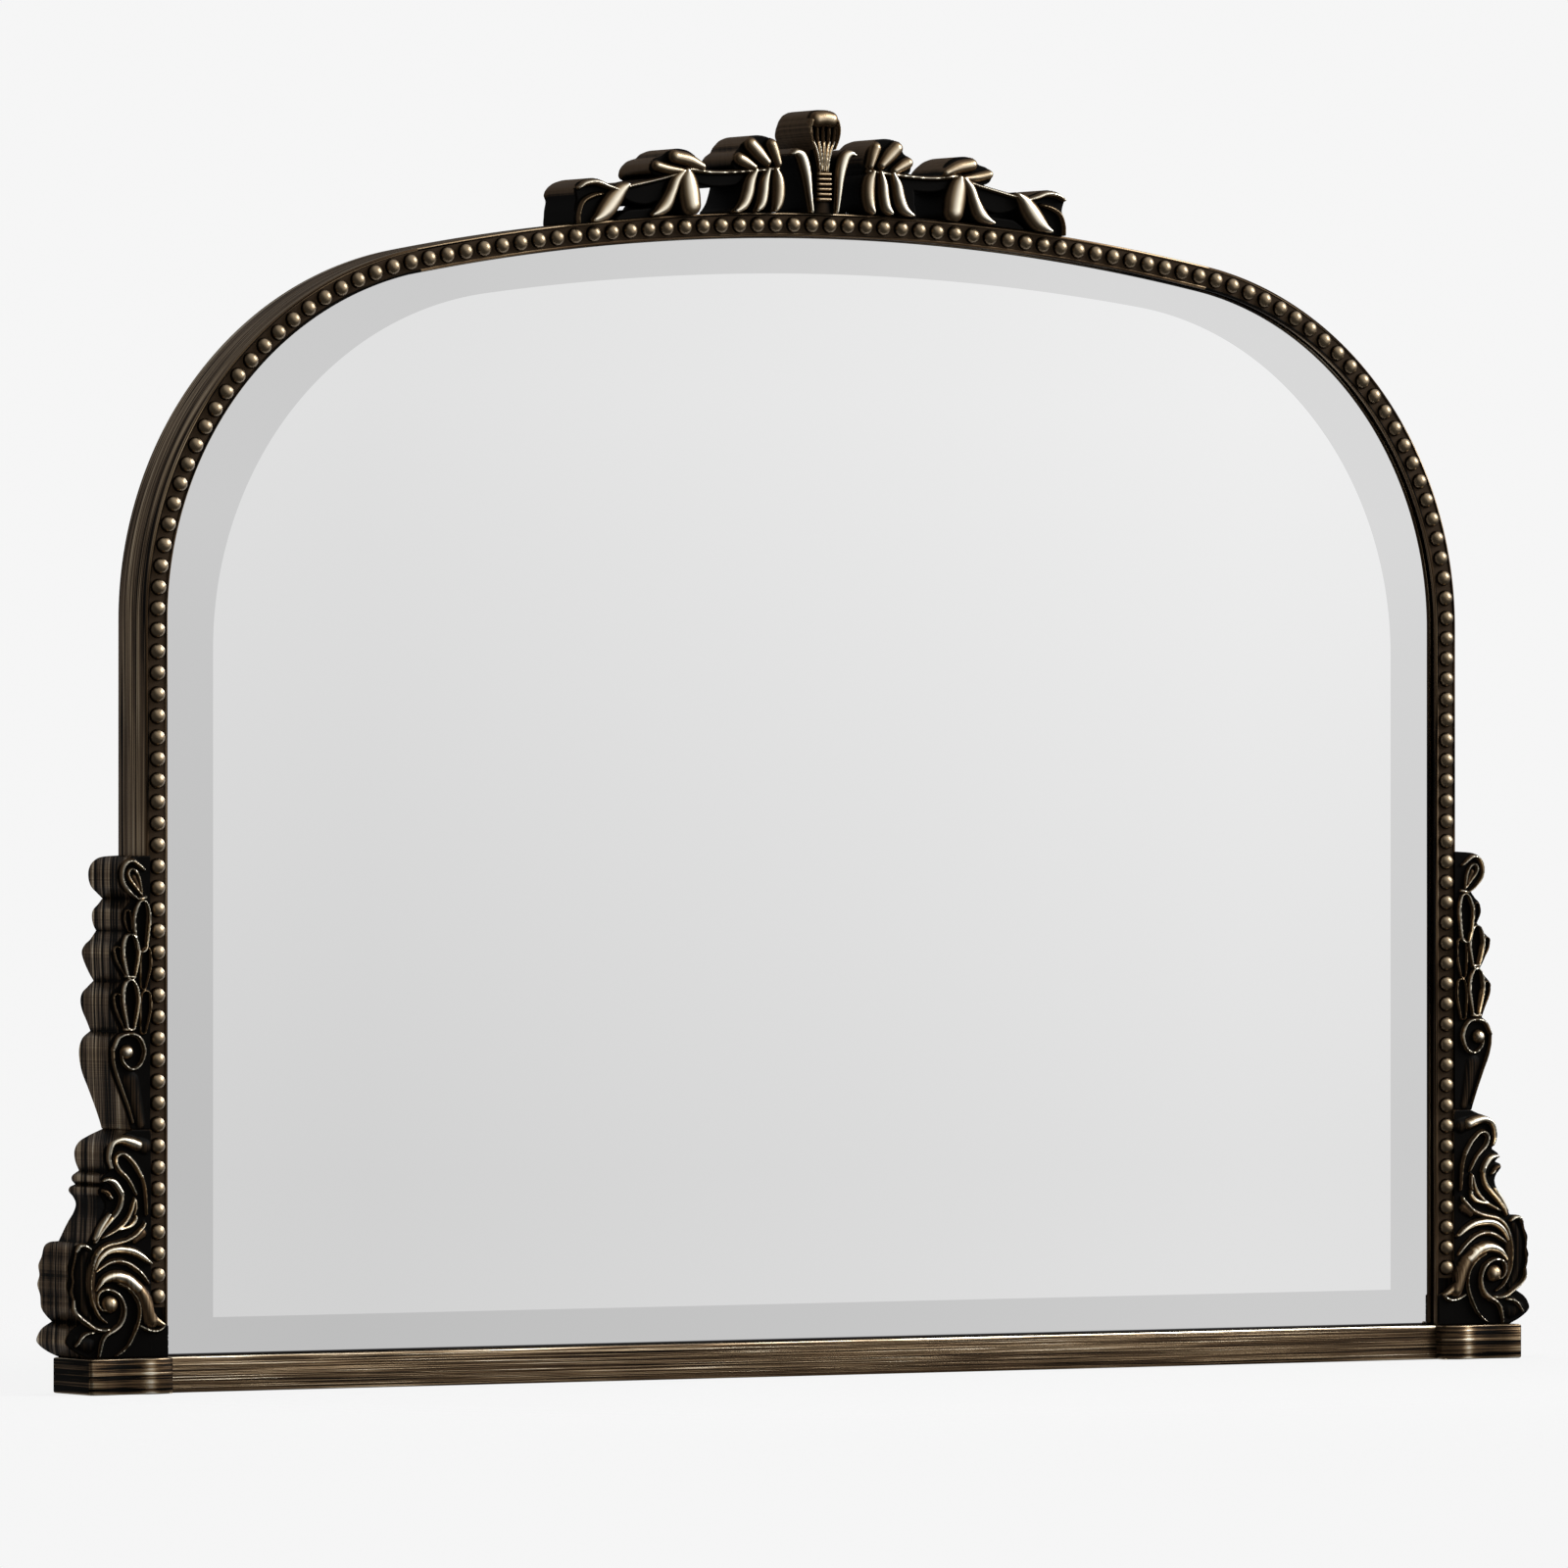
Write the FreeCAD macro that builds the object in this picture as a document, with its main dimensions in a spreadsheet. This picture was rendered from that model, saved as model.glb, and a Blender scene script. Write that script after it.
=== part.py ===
"""Arched overmantel mirror: beaded arch frame on a plinth base, with a leaf crest and side scrolls."""
import FreeCAD, Part
import Sketcher
import math
import os
import re

V = FreeCAD.Vector
doc = FreeCAD.newDocument("arched_mirror")

# Driving dimensions in millimetres, angles in degrees.
SIZES = {
    # frame section and arch
    "sight_width": 1064.0,
    "spring_height": 540.0,
    "shoulder_radius": 251.0,
    "crown_rise": 27.0,
    "face_width": 17.0,
    "rim_width": 2.0,
    "bead_groove_depth": 2.0,
    "lip_depth": 4.0,
    "rabbet_width": 6.0,
    "frame_depth": 42.0,
    # base
    "base_height": 25.0,
    "block_length": 68.0,
    "block_projection": 13.0,
    "block_corner": 3.0,
    "block_cove_radius": 60.0,
    "block_bow_radius": 24.0,
    "block_bow_drop": 1.0,
    "block_return": 6.0,
    "rail_edge": 1.5,
    "rail_rabbet_depth": 6.0,
    # beads
    "bead_diameter": 12.0,
    "bead_pitch": 15.0,
    "bead_strip_thickness": 1.2,
    "bead_strip_play": 0.1,
    "bead_foot_height": 60.0,
    # glass and board
    "glass_thickness": 5.0,
    "glass_edge_thickness": 2.5,
    "glass_play": 1.0,
    "bevel_side_width": 38.0,
    "bevel_crown_drop": 26.5,
    "bevel_bottom_rise": 27.0,
    "bevel_spring_drop": 20.0,
    "bevel_shoulder_gain": 4.0,
    "board_thickness": 5.0,
    "pad_thickness": 1.0,
    "pad_length": 60.0,
    # battens, points and fixings
    "batten_width": 36.0,
    "batten_thickness": 13.0,
    "batten_top_gap": 20.0,
    "bottom_batten_height": 20.0,
    "point_length": 14.0,
    "point_bite": 5.0,
    "point_width": 12.0,
    "point_thickness": 0.8,
    "dowel_diameter": 6.0,
    "dowel_length": 30.0,
    "fixing_play": 0.1,
    "screw_diameter": 3.5,
    "screw_head_diameter": 7.0,
    "batten_screw_length": 45.0,
    "bottom_screw_length": 32.0,
    "ornament_screw_length": 22.0,
    "hanger_screw_length": 12.0,
    "hanger_head_height": 2.2,
    # strap hangers
    "hanger_drop": 50.0,
    "strap_width": 16.0,
    "strap_thickness": 1.2,
    "strap_length": 52.0,
    "strap_end": 7.0,
    "strap_hole_spacing": 12.0,
    "strap_hole_play": 0.25,
    "curl_play": 0.2,
    "curl_end_angle": 60.0,
    "ring_wire": 3.5,
    "ring_inner_width": 24.0,
    "ring_reach": 26.0,
    "ring_corner": 4.0,
    # carved ornament
    "crest_half_length": 206.0,
    "crest_height": 74.0,
    "crest_edge_proud": 4.0,
    "crest_proud": 9.0,
    "pendant_width": 32.0,
    "pendant_height": 191.0,
    "acanthus_width": 65.0,
    "acanthus_height": 159.0,
    "foot_width": 16.5,
    "relief_floor_proud": 3.0,
    "relief_proud": 8.0,
    "relief_sink": 1.0,
    "ornament_back_gap": 0.5,
    "cut_overrun": 5.0,
}

sheet = doc.addObject("Spreadsheet::Sheet", "Sizes")
for row, (alias, number) in enumerate(SIZES.items(), 1):
    sheet.set(f"A{row}", alias.replace("_", " "))
    sheet.set(f"B{row}", str(number))
    sheet.setAlias(f"B{row}", alias)
doc.recompute()

ALIAS = re.compile(r"\b(" + "|".join(SIZES) + r")\b")
NODES = []


def value(expression):
    """Number that an expression of sheet aliases gives."""
    result = sheet.evalExpression(expression)
    return float(getattr(result, "Value", result))


def bind(obj, prop, expression):
    """Ties a property to an expression of sheet aliases."""
    obj.setExpression(prop, ALIAS.sub(r"Sizes.\1", expression))


def place(obj, px="0", py="0", pz="0"):
    """Ties an object's position to three expressions."""
    for axis, expression in zip("xyz", (px, py, pz)):
        bind(obj, f"Placement.Base.{axis}", expression)


def node(obj, label):
    """Names an object as a piece of the mirror."""
    obj.Label = label
    NODES.append(obj)
    return obj


def mirrored(source, label):
    """The left-hand twin of a right-hand piece."""
    twin = doc.addObject("Part::Mirroring", label)
    twin.Source = source
    twin.Normal = V(1, 0, 0)
    return node(twin, label)


def solid_of(shape, name):
    """A document object that holds a shape worked out in code."""
    feature = doc.addObject("Part::Feature", name)
    feature.Shape = shape
    return feature


def cut_by(base, tool, label):
    """A piece less the bores or slots that a tool leaves in it."""
    cut = doc.addObject("Part::Cut", label)
    cut.Base = base
    cut.Tool = tool
    return node(cut, label)


# Shared levels and arch geometry, as expressions of the sheet.
HALF = "(sight_width / 2)"
FRONT = "(-(block_projection + frame_depth) / 2)"
FACE = "((block_projection - frame_depth) / 2)"
BACK = "((block_projection + frame_depth) / 2)"
LIP_BACK = f"({FACE} + lip_depth)"
GLASS_BACK = f"({LIP_BACK} + glass_thickness)"
BOARD_BACK = f"({GLASS_BACK} + board_thickness)"
BATTEN_BACK = f"({BOARD_BACK} + batten_thickness)"
OUTER = f"({HALF} + face_width)"
WALL = f"({HALF} + rabbet_width)"
WALL_MID = f"({HALF} + (rabbet_width + face_width) / 2)"
WALL_DEPTH = "(frame_depth - lip_depth)"
FLOOR = "(base_height - rail_rabbet_depth)"
BASE_END = f"({HALF} + block_length)"
REACH = f"({HALF} - shoulder_radius)"
SIGHT_TOP = "(spring_height + shoulder_radius + crown_rise)"
SPAN = f"(({REACH} * {REACH} / crown_rise + crown_rise) / 2)"
CROWN_RADIUS = f"(shoulder_radius + {SPAN})"
CROWN_CENTRE = f"({SIGHT_TOP} - {CROWN_RADIUS})"
SHOULDER_TURN = f"acos({REACH} / {SPAN})"
CROWN_TURN = f"asin({REACH} / {SPAN})"


def origin_plane(body, role):
    return [plane for plane in body.Origin.OriginFeatures if plane.Role == role][0]


def arc_through(start, end, radius, side):
    """Minor arc from start to end, its centre on the left (1) or right (-1) of the way."""
    chord = end - start
    half = chord.Length / 2
    rise = math.sqrt(max(radius * radius - half * half, 0))
    left = V(-chord.y, chord.x, 0).normalize()
    centre = (start + end) / 2 + left * (rise * side)
    circle = Part.Circle(centre, V(0, 0, 1), radius)
    first = circle.parameter(start if side > 0 else end)
    last = circle.parameter(end if side > 0 else start)
    return Part.ArcOfCircle(circle, first, last)


def profile(body, name, role, corners, offset=None):
    """Closed sketch on an origin plane; a corner (x, y) starts a line, (x, y, radius, side) an arc."""
    sketch = body.newObject("Sketcher::SketchObject", name)
    sketch.AttachmentSupport = (origin_plane(body, role), [""])
    sketch.MapMode = "FlatFace"
    spots = [V(value(corner[0]), value(corner[1]), 0) for corner in corners]
    count = len(corners)
    starts = []
    ends = []
    for index, corner in enumerate(corners):
        here, there = spots[index], spots[(index + 1) % count]
        if len(corner) == 2:
            sketch.addGeometry(Part.LineSegment(here, there), False)
            backwards = False
        else:
            sketch.addGeometry(arc_through(here, there, value(corner[2]), corner[3]), False)
            backwards = corner[3] < 0
        starts.append(2 if backwards else 1)
        ends.append(1 if backwards else 2)
    for index in range(count):
        after = (index + 1) % count
        sketch.addConstraint(Sketcher.Constraint("Coincident", index, ends[index], after, starts[after]))
    for index, corner in enumerate(corners):
        for kind, expression, now in (
            ("DistanceX", corner[0], spots[index].x),
            ("DistanceY", corner[1], spots[index].y),
        ):
            rule = Sketcher.Constraint(kind, -1, 1, index, starts[index], now)
            bind(sketch, f"Constraints[{sketch.addConstraint(rule)}]", expression)
        if len(corner) == 4:
            rule = Sketcher.Constraint("Radius", index, value(corner[2]))
            bind(sketch, f"Constraints[{sketch.addConstraint(rule)}]", corner[2])
    for axis, expression in (offset or {}).items():
        bind(sketch, f"AttachmentOffset.Base.{axis}", expression)
    doc.recompute()
    return sketch


def pad(body, sketch, length, symmetric=False):
    feature = body.newObject("PartDesign::Pad", body.Name + "_pad")
    feature.Profile = (sketch, [""])
    bind(feature, "Length", length)
    feature.SideType = "Symmetric" if symmetric else "One side"
    doc.recompute()
    return feature


def revolve(body, sketch, axis, angle, midplane=False, backwards=False):
    feature = body.newObject("PartDesign::Revolution", body.Name + "_turn")
    feature.Profile = (sketch, [""])
    feature.ReferenceAxis = (sketch, [axis])
    bind(feature, "Angle", angle)
    feature.Midplane = midplane
    feature.Reversed = backwards
    doc.recompute()
    return feature


def new_body(name):
    return doc.addObject("PartDesign::Body", name)


def frame_section(inner, swap=False):
    """Frame section from the sight edge outwards: front lip, bead channel and glass rabbet."""
    corners = [
        (f"{inner}", FACE),
        (f"{inner} + rim_width", FACE),
        (f"{inner} + rim_width", f"{FACE} + bead_groove_depth"),
        (f"{inner} + face_width - rim_width", f"{FACE} + bead_groove_depth"),
        (f"{inner} + face_width - rim_width", FACE),
        (f"{inner} + face_width", FACE),
        (f"{inner} + face_width", BACK),
        (f"{inner} + rabbet_width", BACK),
        (f"{inner} + rabbet_width", LIP_BACK),
        (f"{inner}", LIP_BACK),
    ]
    return [corner[::-1] for corner in corners] if swap else corners


def arch_corners(margin, bottom):
    """Outline of the arch opening, grown by a margin: bottom, sides and three arcs."""
    wide = f"({HALF} + {margin})"
    small = f"(shoulder_radius + {margin})"
    large = f"({CROWN_RADIUS} + {margin})"
    meet_x = f"({large} * {REACH} / {SPAN})"
    meet_z = f"({CROWN_CENTRE} + {large} * cos({CROWN_TURN}))"
    return [
        (f"-{wide}", bottom),
        (wide, bottom),
        (wide, "spring_height", small, 1),
        (meet_x, meet_z, large, 1),
        (f"-{meet_x}", meet_z, small, 1),
        (f"-{wide}", "spring_height"),
    ]


# Dowels across every frame joint, the screws of the ornament, and the points behind the board.
# The crest, the stile and the shoulder take their bores from the same places.
dowel_depth_shares = (0.25, 0.8)
rail_dowel_shares = (0.3, 0.7)
pendant_screw_shares = (0.28, 0.94)
acanthus_screw_shares = (0.3, 0.73)
crest_screw_shares = (0.18, 0.53)
batten_screw_shares = (0.2, 0.55, 0.9)
bottom_screw_shares = (-0.66, 0.0, 0.66)
shoulder_point_shares = (0.3, 0.65)
crown_point_shares = (-0.75, -0.25, 0.25, 0.75)

half = value(HALF)
face_y = value(FACE)
back_y = value(BACK)
lip_back = value(LIP_BACK)
spring = value("spring_height")
base_top = value("base_height")
wall = value(WALL)
wall_mid = value(WALL_MID)
outer = value(OUTER)
shoulder_turn = math.radians(value(SHOULDER_TURN))
crown_turn = math.radians(value(CROWN_TURN))
crown_radius = value(CROWN_RADIUS)
crown_centre = value(CROWN_CENTRE)
shoulder_x = value(REACH)
wall_offset = wall_mid - half
pendant_foot = base_top + value("acanthus_height")
play = value("fixing_play")
overrun = value("cut_overrun")


def rod(middle, along, radius, length):
    along = V(along).normalize()
    return Part.makeCylinder(radius, length, middle - along * (length / 2), along)


def dowel_places():
    """Middle and direction of each dowel on the right-hand side."""
    spots = []
    for share in dowel_depth_shares:
        depth = lip_back + share * value(WALL_DEPTH)
        spots.append((V(wall_mid, depth, spring), V(0, 0, 1)))
        spots.append((V(wall_mid, depth, base_top), V(0, 0, 1)))
        ray = V(math.cos(shoulder_turn), 0, math.sin(shoulder_turn))
        centre = V(shoulder_x, depth, spring)
        reach = value("shoulder_radius") + wall_offset
        spots.append((centre + ray * reach, V(-ray.z, 0, ray.x)))
    for share in rail_dowel_shares:
        spots.append((V(half, face_y + share * value("frame_depth"), value(FLOOR) / 2), V(1, 0, 0)))
    return spots


def both_sides(shapes):
    """A list of right-hand shapes with their left-hand twins."""
    return shapes + [shape.mirror(V(0, 0, 0), V(1, 0, 0)) for shape in shapes]


def dowels(extra):
    radius = value("dowel_diameter") / 2 + extra
    length = value("dowel_length") + 2 * extra
    return both_sides([rod(spot, along, radius, length) for spot, along in dowel_places()])


def countersunk(length, extra, spot, along):
    """Countersunk screw whose head is flush at a spot."""
    head = value("screw_head_diameter") / 2 + extra
    shank = value("screw_diameter") / 2 + extra
    reach = length + extra
    corners = [V(0, 0, 0), V(head, 0, 0), V(shank, 0, head - shank), V(shank, 0, reach - shank), V(0, 0, reach)]
    form = Part.Face(Part.makePolygon(corners + corners[:1])).revolve(V(0, 0, 0), V(0, 0, 1), 360)
    form.Placement = FreeCAD.Placement(spot, FreeCAD.Rotation(V(0, 0, 1), along))
    return form


def ornament_screws(extra):
    """Screws from inside the rabbet wall into the side scrolls and the crest."""
    depth = lip_back + value(WALL_DEPTH) / 2
    length = value("ornament_screw_length")
    forms = []
    for share in pendant_screw_shares:
        height = pendant_foot + share * value("pendant_height")
        forms.append(countersunk(length, extra, V(wall, depth, height), V(1, 0, 0)))
    for share in acanthus_screw_shares:
        height = base_top + share * value("acanthus_height")
        forms.append(countersunk(length, extra, V(wall, depth, height), V(1, 0, 0)))
    ring = crown_radius + value("rabbet_width")
    for share in crest_screw_shares:
        angle = math.asin(share * value("crest_half_length") / ring)
        ray = V(math.sin(angle), 0, math.cos(angle))
        forms.append(countersunk(length, extra, V(0, depth, crown_centre) + ray * ring, ray))
    middle = countersunk(length, extra, V(0, depth, crown_centre + ring), V(0, 0, 1))
    return both_sides(forms) + [middle]


def batten_screws(extra):
    """Screws through the battens into the stiles and the base rail."""
    length = value("batten_screw_length")
    depth = value(BOARD_BACK) + value("batten_thickness") / 2
    floor = value(FLOOR)
    inner = wall - value("batten_width")
    tall = spring - value("batten_top_gap") - floor
    sides = []
    for share in batten_screw_shares:
        sides.append(countersunk(length, extra, V(inner, depth, floor + share * tall), V(1, 0, 0)))
    head = floor + value("bottom_batten_height")
    low = []
    for share in bottom_screw_shares:
        spot = V(share * half, depth, head)
        low.append(countersunk(value("bottom_screw_length"), extra, spot, V(0, 0, -1)))
    return both_sides(sides) + low


def retaining_points():
    """Flat points driven radially into the arch, lying on the back of the board."""
    long, wide = value("point_length"), value("point_width")
    inset = long - value("point_bite")
    blank = Part.makeBox(long, value("point_thickness"), wide, V(-inset, value(BOARD_BACK), -wide / 2))
    spots = []
    for share in shoulder_point_shares:
        angle = share * shoulder_turn
        reach = value("shoulder_radius") + value("rabbet_width")
        ray = V(math.cos(angle), 0, math.sin(angle))
        spots.append((V(shoulder_x, 0, spring) + ray * reach, angle))
    forms = []
    for spot, angle in spots:
        form = blank.copy()
        form.Placement = FreeCAD.Placement(spot, FreeCAD.Rotation(V(0, -1, 0), math.degrees(angle)))
        forms.append(form)
    forms = both_sides(forms)
    for share in crown_point_shares:
        angle = math.pi / 2 - share * crown_turn
        ray = V(math.cos(angle), 0, math.sin(angle))
        form = blank.copy()
        spot = V(0, 0, crown_centre) + ray * (crown_radius + value("rabbet_width"))
        form.Placement = FreeCAD.Placement(spot, FreeCAD.Rotation(V(0, -1, 0), math.degrees(angle)))
        forms.append(form)
    return forms


node(solid_of(Part.makeCompound(dowels(0)), "dowel_group"), "frame_dowels")
node(solid_of(Part.makeCompound(ornament_screws(0)), "ornament_screw_group"), "ornament_screws")
node(solid_of(Part.makeCompound(batten_screws(0)), "batten_screw_group"), "batten_screws")
node(solid_of(Part.makeCompound(retaining_points()), "point_group"), "retaining_points")
bores = dowels(play) + ornament_screws(play) + batten_screws(play) + retaining_points()
fixing_bores = solid_of(Part.makeCompound(bores), "fixing_bores")

# Stiles: the frame section padded up from the plinth block to the spring line.
body = new_body("stile")
pad(body, profile(body, "stile_section", "XY_Plane", frame_section(HALF)), "spring_height - base_height")
place(body, pz="base_height")
doc.recompute()
mirrored(cut_by(body, fixing_bores, "right_stile"), "left_stile")

# Arch: two shoulders turned about their own centres and a flat crown between them.
body = new_body("shoulder")
sketch = profile(body, "shoulder_section", "XY_Plane", frame_section("shoulder_radius"))
revolve(body, sketch, "V_Axis", SHOULDER_TURN, backwards=True)
place(body, REACH, "0", "spring_height")
doc.recompute()
mirrored(cut_by(body, fixing_bores, "right_shoulder"), "left_shoulder")

body = new_body("crown")
sketch = profile(body, "crown_section", "YZ_Plane", frame_section(CROWN_RADIUS, swap=True))
revolve(body, sketch, "H_Axis", f"2 * {CROWN_TURN}", midplane=True)
place(body, "0", "0", CROWN_CENTRE)
doc.recompute()
cut_by(body, fixing_bores, "crown_arch")

# Base rail between the plinth blocks, with a front lip and a floor for the glass.
body = new_body("rail")
rail_corners = [
    (FACE, "base_height - rail_edge"),
    (FACE, "rail_edge"),
    (f"{FACE} + rail_edge", "0"),
    (BACK, "0"),
    (BACK, FLOOR),
    (LIP_BACK, FLOOR),
    (LIP_BACK, "base_height"),
    (f"{FACE} + rail_edge", "base_height"),
]
pad(body, profile(body, "rail_section", "YZ_Plane", rail_corners), "sight_width", symmetric=True)
cut_by(body, fixing_bores, "base_rail")

# Plinth block: a bow at the inner end running into a shallow cove, rabbeted for the glass corner.
block_cove_shares = (0.8, 0.34)
body = new_body("block")
block_corners = [
    (HALF, BACK),
    (HALF, f"{FRONT} + block_return", "block_bow_radius", 1),
    (f"{HALF} + {block_cove_shares[1]} * block_length", f"{FRONT} + block_bow_drop", "block_cove_radius", -1),
    (f"{HALF} + {block_cove_shares[0]} * block_length", FRONT),
    (f"{BASE_END} - block_corner", FRONT, "block_corner", 1),
    (BASE_END, f"{FRONT} + block_corner"),
    (BASE_END, BACK),
]
pad(body, profile(body, "block_plan", "XY_Plane", block_corners), "base_height")
corner_rabbet = doc.addObject("Part::Box", "corner_rabbet")
bind(corner_rabbet, "Length", "rabbet_width")
bind(corner_rabbet, "Width", WALL_DEPTH)
bind(corner_rabbet, "Height", "rail_rabbet_depth")
place(corner_rabbet, HALF, LIP_BACK, FLOOR)
rabbeted_block = doc.addObject("Part::Cut", "rabbeted_block")
rabbeted_block.Base = body
rabbeted_block.Tool = corner_rabbet
mirrored(cut_by(rabbeted_block, fixing_bores, "right_plinth_block"), "left_plinth_block")

# Beaded strips in the channel: a flat strip and a row of half-round beads at one pitch.
STRIP_HALF = "(face_width / 2 - rim_width - bead_strip_play)"
STRIP_TOP = f"({FACE} + bead_groove_depth - bead_strip_thickness)"
STILE_RUN = "(spring_height - bead_foot_height)"
SHOULDER_LINE = "(shoulder_radius + face_width / 2)"
CROWN_LINE = f"({CROWN_RADIUS} + face_width / 2)"
stile_count = round(value(STILE_RUN) / value("bead_pitch"))
shoulder_count = round(value(SHOULDER_LINE) * shoulder_turn / value("bead_pitch"))
crown_count = round(2 * value(CROWN_LINE) * crown_turn / value("bead_pitch"))


def strip_corners(line, swap=False):
    low, high = f"{line} - {STRIP_HALF}", f"{line} + {STRIP_HALF}"
    corners = [(low, STRIP_TOP), (high, STRIP_TOP), (high, f"{FACE} + bead_groove_depth"),
               (low, f"{FACE} + bead_groove_depth")]
    return [corner[::-1] for corner in corners] if swap else corners


def bead(body, offset):
    """One half-round bead standing on the strip."""
    corners = [
        ("0", f"{STRIP_TOP} + bead_strip_thickness / 2"),
        ("0", f"{STRIP_TOP} - bead_diameter / 2", "bead_diameter / 2", 1),
        ("bead_diameter / 2", STRIP_TOP),
        ("bead_diameter / 2", f"{STRIP_TOP} + bead_strip_thickness / 2"),
    ]
    sketch = profile(body, body.Name + "_bead_outline", "XY_Plane", corners, offset)
    return revolve(body, sketch, "V_Axis", "360")


def bead_row(body, kind, first, axis, spread, count, backwards):
    """Repeats a bead along a line (Length) or round an arc (Angle)."""
    pattern = body.newObject("PartDesign::" + kind, body.Name + "_row")
    pattern.Originals = [first]
    if kind == "LinearPattern":
        pattern.Direction = axis
        bind(pattern, "Length", spread)
    else:
        pattern.Axis = axis
        bind(pattern, "Angle", spread)
    pattern.Reversed = backwards
    pattern.Occurrences = count
    body.Tip = pattern
    doc.recompute()


body = new_body("stile_beads")
sketch = profile(body, "stile_strip", "XY_Plane", strip_corners("0"))
pad(body, sketch, STILE_RUN)
first = bead(body, {"z": f"{STILE_RUN} / {2 * stile_count}"})
step = f"{STILE_RUN} * {stile_count - 1} / {stile_count}"
bead_row(body, "LinearPattern", first, (origin_plane(body, "Z_Axis"), [""]), step, stile_count, False)
place(body, f"{HALF} + face_width / 2", "0", "bead_foot_height")
doc.recompute()
node(body, "right_bead_strip")
mirrored(body, "left_bead_strip")

body = new_body("shoulder_row")
sketch = profile(body, "shoulder_strip", "XY_Plane", strip_corners(SHOULDER_LINE))
revolve(body, sketch, "V_Axis", SHOULDER_TURN, backwards=True)
turn = f"({SHOULDER_TURN} / {2 * shoulder_count})"
first = bead(body, {"x": f"{SHOULDER_LINE} * cos({turn})", "z": f"{SHOULDER_LINE} * sin({turn})"})
step = f"{SHOULDER_TURN} * {shoulder_count - 1} / {shoulder_count}"
bead_row(body, "PolarPattern", first, (sketch, ["V_Axis"]), step, shoulder_count, True)
place(body, REACH, "0", "spring_height")
doc.recompute()
node(body, "right_shoulder_beads")
mirrored(body, "left_shoulder_beads")

body = new_body("crown_row")
sketch = profile(body, "crown_strip", "YZ_Plane", strip_corners(CROWN_LINE, swap=True))
revolve(body, sketch, "H_Axis", f"2 * {CROWN_TURN}", midplane=True)
turn = f"({CROWN_TURN} * {crown_count - 1} / {crown_count})"
first = bead(body, {"x": f"-{CROWN_LINE} * sin({turn})", "z": f"{CROWN_LINE} * cos({turn})"})
bead_row(body, "PolarPattern", first, (sketch, ["H_Axis"]), f"2 * {turn}", crown_count, False)
place(body, "0", "0", CROWN_CENTRE)
doc.recompute()
node(body, "crown_beads")

# Mirror glass: a flat back plate with a bevelled front, and the board behind it.
GLASS_MARGIN = "(rabbet_width - glass_play)"
GLASS_BOTTOM = f"({FLOOR} + pad_thickness)"
BEVEL_HALF = f"({HALF} - bevel_side_width)"
BEVEL_SHOULDER = "(shoulder_radius + bevel_shoulder_gain)"
BEVEL_REACH = f"({BEVEL_HALF} - {BEVEL_SHOULDER})"
BEVEL_SPRING = "(spring_height - bevel_spring_drop)"
BEVEL_TOP = f"({SIGHT_TOP} - bevel_crown_drop)"
BEVEL_RISE = f"({BEVEL_TOP} - {BEVEL_SPRING} - {BEVEL_SHOULDER})"
BEVEL_SPAN = f"(({BEVEL_REACH} * {BEVEL_REACH} / {BEVEL_RISE} + {BEVEL_RISE}) / 2)"
BEVEL_CROWN = f"({BEVEL_SHOULDER} + {BEVEL_SPAN})"
BEVEL_TURN = f"asin({BEVEL_REACH} / {BEVEL_SPAN})"
bevel_meet_x = f"({BEVEL_CROWN} * {BEVEL_REACH} / {BEVEL_SPAN})"
bevel_meet_z = f"({BEVEL_TOP} - {BEVEL_CROWN} + {BEVEL_CROWN} * cos({BEVEL_TURN}))"
bevel_low = "base_height + bevel_bottom_rise"
bevel_corners = [
    (f"-{BEVEL_HALF}", bevel_low),
    (BEVEL_HALF, bevel_low),
    (BEVEL_HALF, BEVEL_SPRING, BEVEL_SHOULDER, 1),
    (bevel_meet_x, bevel_meet_z, BEVEL_CROWN, 1),
    (f"-{bevel_meet_x}", bevel_meet_z, BEVEL_SHOULDER, 1),
    (f"-{BEVEL_HALF}", BEVEL_SPRING),
]
glass_corners = arch_corners(GLASS_MARGIN, GLASS_BOTTOM)
body = new_body("glass")
pad(body, profile(body, "glass_outline", "XZ_Plane", glass_corners), "glass_edge_thickness")
edge = profile(body, "bevel_edge", "XZ_Plane", glass_corners, {"z": "glass_edge_thickness"})
flat = profile(body, "bevel_line", "XZ_Plane", bevel_corners, {"z": "glass_thickness"})
bevel = body.newObject("PartDesign::AdditiveLoft", "glass_bevel")
bevel.Profile = (edge, [""])
bevel.Sections = [(flat, [""])]
bevel.Ruled = True
place(body, "0", GLASS_BACK, "0")
doc.recompute()
node(body, "mirror_glass")

body = new_body("board")
pad(body, profile(body, "board_outline", "XZ_Plane", glass_corners), "board_thickness")
place(body, "0", BOARD_BACK, "0")
node(body, "back_board")

pad_place_share = 0.5
pads = []
for side in (-1, 1):
    cushion = doc.addObject("Part::Box", "glass_pad")
    bind(cushion, "Length", "pad_length")
    bind(cushion, "Width", "glass_thickness + board_thickness")
    bind(cushion, "Height", "pad_thickness")
    place(cushion, f"{side * pad_place_share} * {HALF} - pad_length / 2", LIP_BACK, FLOOR)
    pads.append(cushion)
group = doc.addObject("Part::Compound", "pad_group")
group.Links = pads
node(group, "glass_pads")

# Battens behind the board.
side_batten = doc.addObject("Part::Box", "side_batten")
bind(side_batten, "Length", "batten_width")
bind(side_batten, "Width", "batten_thickness")
bind(side_batten, "Height", f"spring_height - batten_top_gap - {FLOOR}")
place(side_batten, f"{WALL} - batten_width", BOARD_BACK, FLOOR)

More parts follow.
